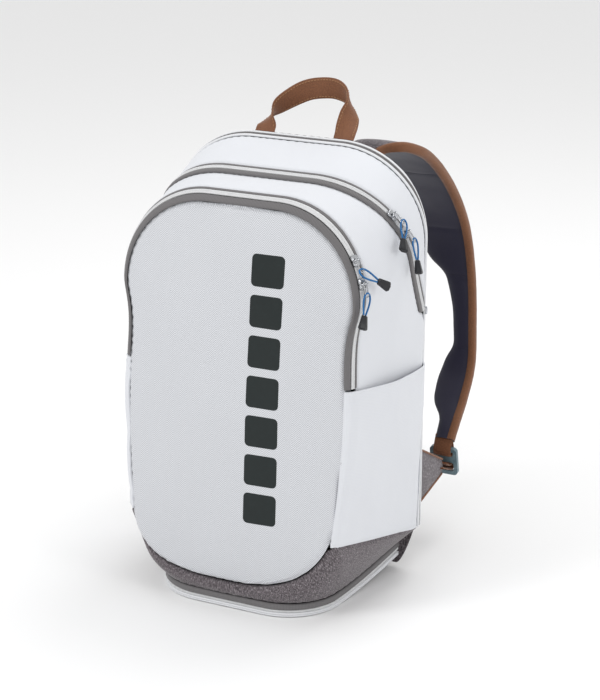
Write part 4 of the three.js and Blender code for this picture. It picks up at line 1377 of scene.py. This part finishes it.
def add_wing(side, name, body):
    grid = grid_of(lambda a, b: lerp(*lerp(*WING, a), b) * (side, 1, 1), even(40), crowded(24))
    swell = 1.6 * smooth(border(grid, "bt") / 10) + 0.8 * noise_field(grid, 22, 1.0)
    normals = grid_normals(grid, (0, 100, 110))
    middle = grid - normals * 1.7
    thick = normals * (1.3 + np.maximum(swell, 0))[..., None]
    uvs = np.stack(runs(grid), axis=2)
    cloth = layered(f"wing_cloth_{name}", middle + thick, middle - thick, uvs, "melange")
    bend(cloth, "bag_body", body, WING_FOLD, "melange_fabric", f"strap_wing_{name}")
    for part, edge, up in (("lower", middle[0], -1), ("upper", middle[-1], 1)):
        out = np.repeat([(0, 0, up)], len(edge), axis=0)
        tape = webbing(f"wing_binding_{part}_{name}", edge, out, 5.5, 2.6, "binding")
        bend(tape, "bag_body", body, WING_FOLD, "tan_webbing")


# Zip sliders and their pulls, each built lying along +X with the zip under it at z = 0

BRIDGE = [(-3.6, 2.6), (-3.4, 5.0), (-2.4, 7.0), (0, 7.9), (2.4, 7.0), (3.4, 5.0), (3.6, 2.6)]
BRIDGE_Z = 6.4
WIRE_RADIUS, WIRE_REACH, WIRE_END = 0.72, 14, 2.2
TIP_START, TIP_LENGTH = 33.5, 15
SLIDER_LIFT = 0.6
CORD_RADIUS = 1.0
CORD_SIDE = [(9.6, 0), (10.9, 2.4), (14, 3.9), (18, 4.3), (24, 3.6), (29, 2.4), (33, 1.4)]
CORD_LOOP = [(x, -y) for x, y in CORD_SIDE[:0:-1]] + CORD_SIDE


def basis(along, sideways, out, origin):
    matrix = np.eye(4)
    for column, vector in enumerate((along, sideways, out, origin)):
        matrix[:3, column] = vector
    return matrix


def slider_frame(origin, along, across, side):
    """The frame of a slider: its origin on the zip, +X along the zip on the pull's side, +Z out of the bag."""
    out = unit(np.cross(along, across))
    if out[0] * side < 0:
        out = -out
    return basis(along, np.cross(out, along), out, origin + out * SLIDER_LIFT)


def zip_frame(place, line, onwards):
    STEP = 1e-3
    along = unit((skin(place + STEP, line) - skin(place - STEP, line)) * onwards)
    across = skin(place, offset(line, 1)) - skin(place, offset(line, -1))
    return slider_frame(skin(place, line), along, across, place)


def base_zip_frame(turn):
    STEP = 0.01
    before, origin, after = (
        foot_ring(place, (BASE_ZIP_FOOT + BASE_ZIP_TOP) / 2 + foot_rise(place), -1)
        for place in (turn - STEP, turn, turn + STEP)
    )
    return slider_frame(origin, unit(after - before), (0, 0, 1), turn)


def moved(matrix, points):
    return np.asarray(points, float) @ matrix[:3, :3].T + matrix[:3, 3]


def ringed(name, matrix, rings, material, sharp):
    """A solid through rings of points, moved to a frame."""
    points = [point for ring in rings for point in ring]
    uvs = [(x, y + z) for x, y, z in points]
    return new_object(name, moved(matrix, points), ring_faces(len(rings), len(rings[0])), uvs, material, sharp)


def slider_mesh(name, matrix):
    """A slider's body: a waisted plate with a rounded shoulder, under an arched bridge."""
    rings = []
    for z, shrink in ((0.0, 0.5), (0.25, 0.1), (0.8, 0.0), (2.4, 0.0), (3.1, 0.3), (3.4, 1.0), (3.5, 2.4)):
        ring = []
        for angle in np.linspace(0, 2 * math.pi, 41)[:-1]:
            c, s = math.cos(angle), math.sin(angle)
            x = (6.4 - shrink) * math.copysign(abs(c) ** 0.55, c)
            waist = 4.3 - 0.9 * math.exp(-((x / 2.2) ** 2)) + 0.35 * (x < 0)
            ring.append((x, (waist - shrink) * math.copysign(abs(s) ** 0.55, s), z))
        rings.append(ring)
    return ringed(name, matrix, rings, "metal", 40)


def tip_mesh(name, matrix):
    """A six-sided grip that widens towards its end, with its corners cut."""
    rings = []
    for x, radius in ((0, 3.2), (0.8, 4.0), (TIP_LENGTH - 3, 5.9), (TIP_LENGTH - 1.2, 6.0), (TIP_LENGTH, 4.6)):
        angles = 2 * math.pi * (np.arange(6) + 0.5) / 6
        rings.append([(TIP_START + x, radius * math.cos(angle), BRIDGE_Z + 0.6 * radius * math.sin(angle))
                      for angle in angles])
    made = ringed(name, matrix, rings, "tip", 20)
    soften(made, 0.35)
    return made


def add_slider(name, matrix):
    """A slider, its bridge, and the wire link of its pull."""
    body = f"slider_{name}"
    place_on(body, slider_mesh(f"slider_body_{name}", matrix), "slider_metal", f"slider_{name}")
    arch = moved(matrix, spline([(0, y, z) for y, z in BRIDGE], 24))
    place_on(body, loop_tube(f"slider_bridge_{name}", arch, 1.25, "metal", 10, 0.7), "slider_metal")
    turns = np.linspace(0, 2 * math.pi, 49)
    ends = 1 + np.sign(np.cos(turns).round(6))
    x = (WIRE_REACH - WIRE_END) / 2 * ends + WIRE_END * np.cos(turns)
    link = np.stack((x, WIRE_END * np.sin(turns), np.full(len(turns), BRIDGE_Z)), axis=1)
    wire = loop_tube(f"pull_loop_{name}", moved(matrix, resampled(link, 60)), WIRE_RADIUS, "metal", 8)
    place_on(f"pull_{name}", wire, "slider_metal", f"pull_wire_{name}")


def add_cord(name, matrix, swing):
    """The looped cord through the end of the wire, and the faceted tip that holds both ends."""
    c, s = math.cos(math.radians(swing)), math.sin(math.radians(swing))
    place = matrix @ basis((c, s, 0), (-s, c, 0), (0, 0, 1), (WIRE_REACH * (1 - c), -WIRE_REACH * s, 0))
    body = f"pull_{name}"
    tip = tip_mesh(f"pull_grip_{name}", place)
    place_on(body, tip, "black_plastic", f"pull_tip_{name}")
    path = moved(place, spline([(x, y, BRIDGE_Z) for x, y in CORD_LOOP], 72))
    cord = loop_tube(f"pull_braid_{name}", path, CORD_RADIUS, "cord")
    place_on(body, cord, "blue_cord", f"pull_cord_{name}")
    points = to_row_frame(path)
    tuple(points[0])
    float(run_along(path)[-1]) * MM
    [tuple(point) for point in points]


def add_sliders():
    front_zip = offset(front_y, FRONT_ZIP_MIDDLE + 0.6)
    for name, matrix, swing in (
        ("front_upper", zip_frame(0.428, front_zip, 1), 45),
        ("front_lower", zip_frame(0.49, front_zip, 1), -25),
        ("main_upper", zip_frame(0.4, main_zip_y, 1), -62),
        ("main_lower", zip_frame(0.463, main_zip_y, 1), -40),
    ):
        add_slider(name, matrix)
        add_cord(name, matrix, swing)
    add_slider("rear", zip_frame(-0.9, rear_seam_y, -1))
    add_slider("base", base_zip_frame(-0.93))


add_camera()
add_sliders()
add_front_panel()
add_front_zip()
add_main_zip()
add_rear_zip()
add_gussets()
add_side_pockets()
add_base()
add_back()
add_pocket_walls()
add_handle()
add_strap(-1, "left")
add_strap(1, "right")
add_studio()
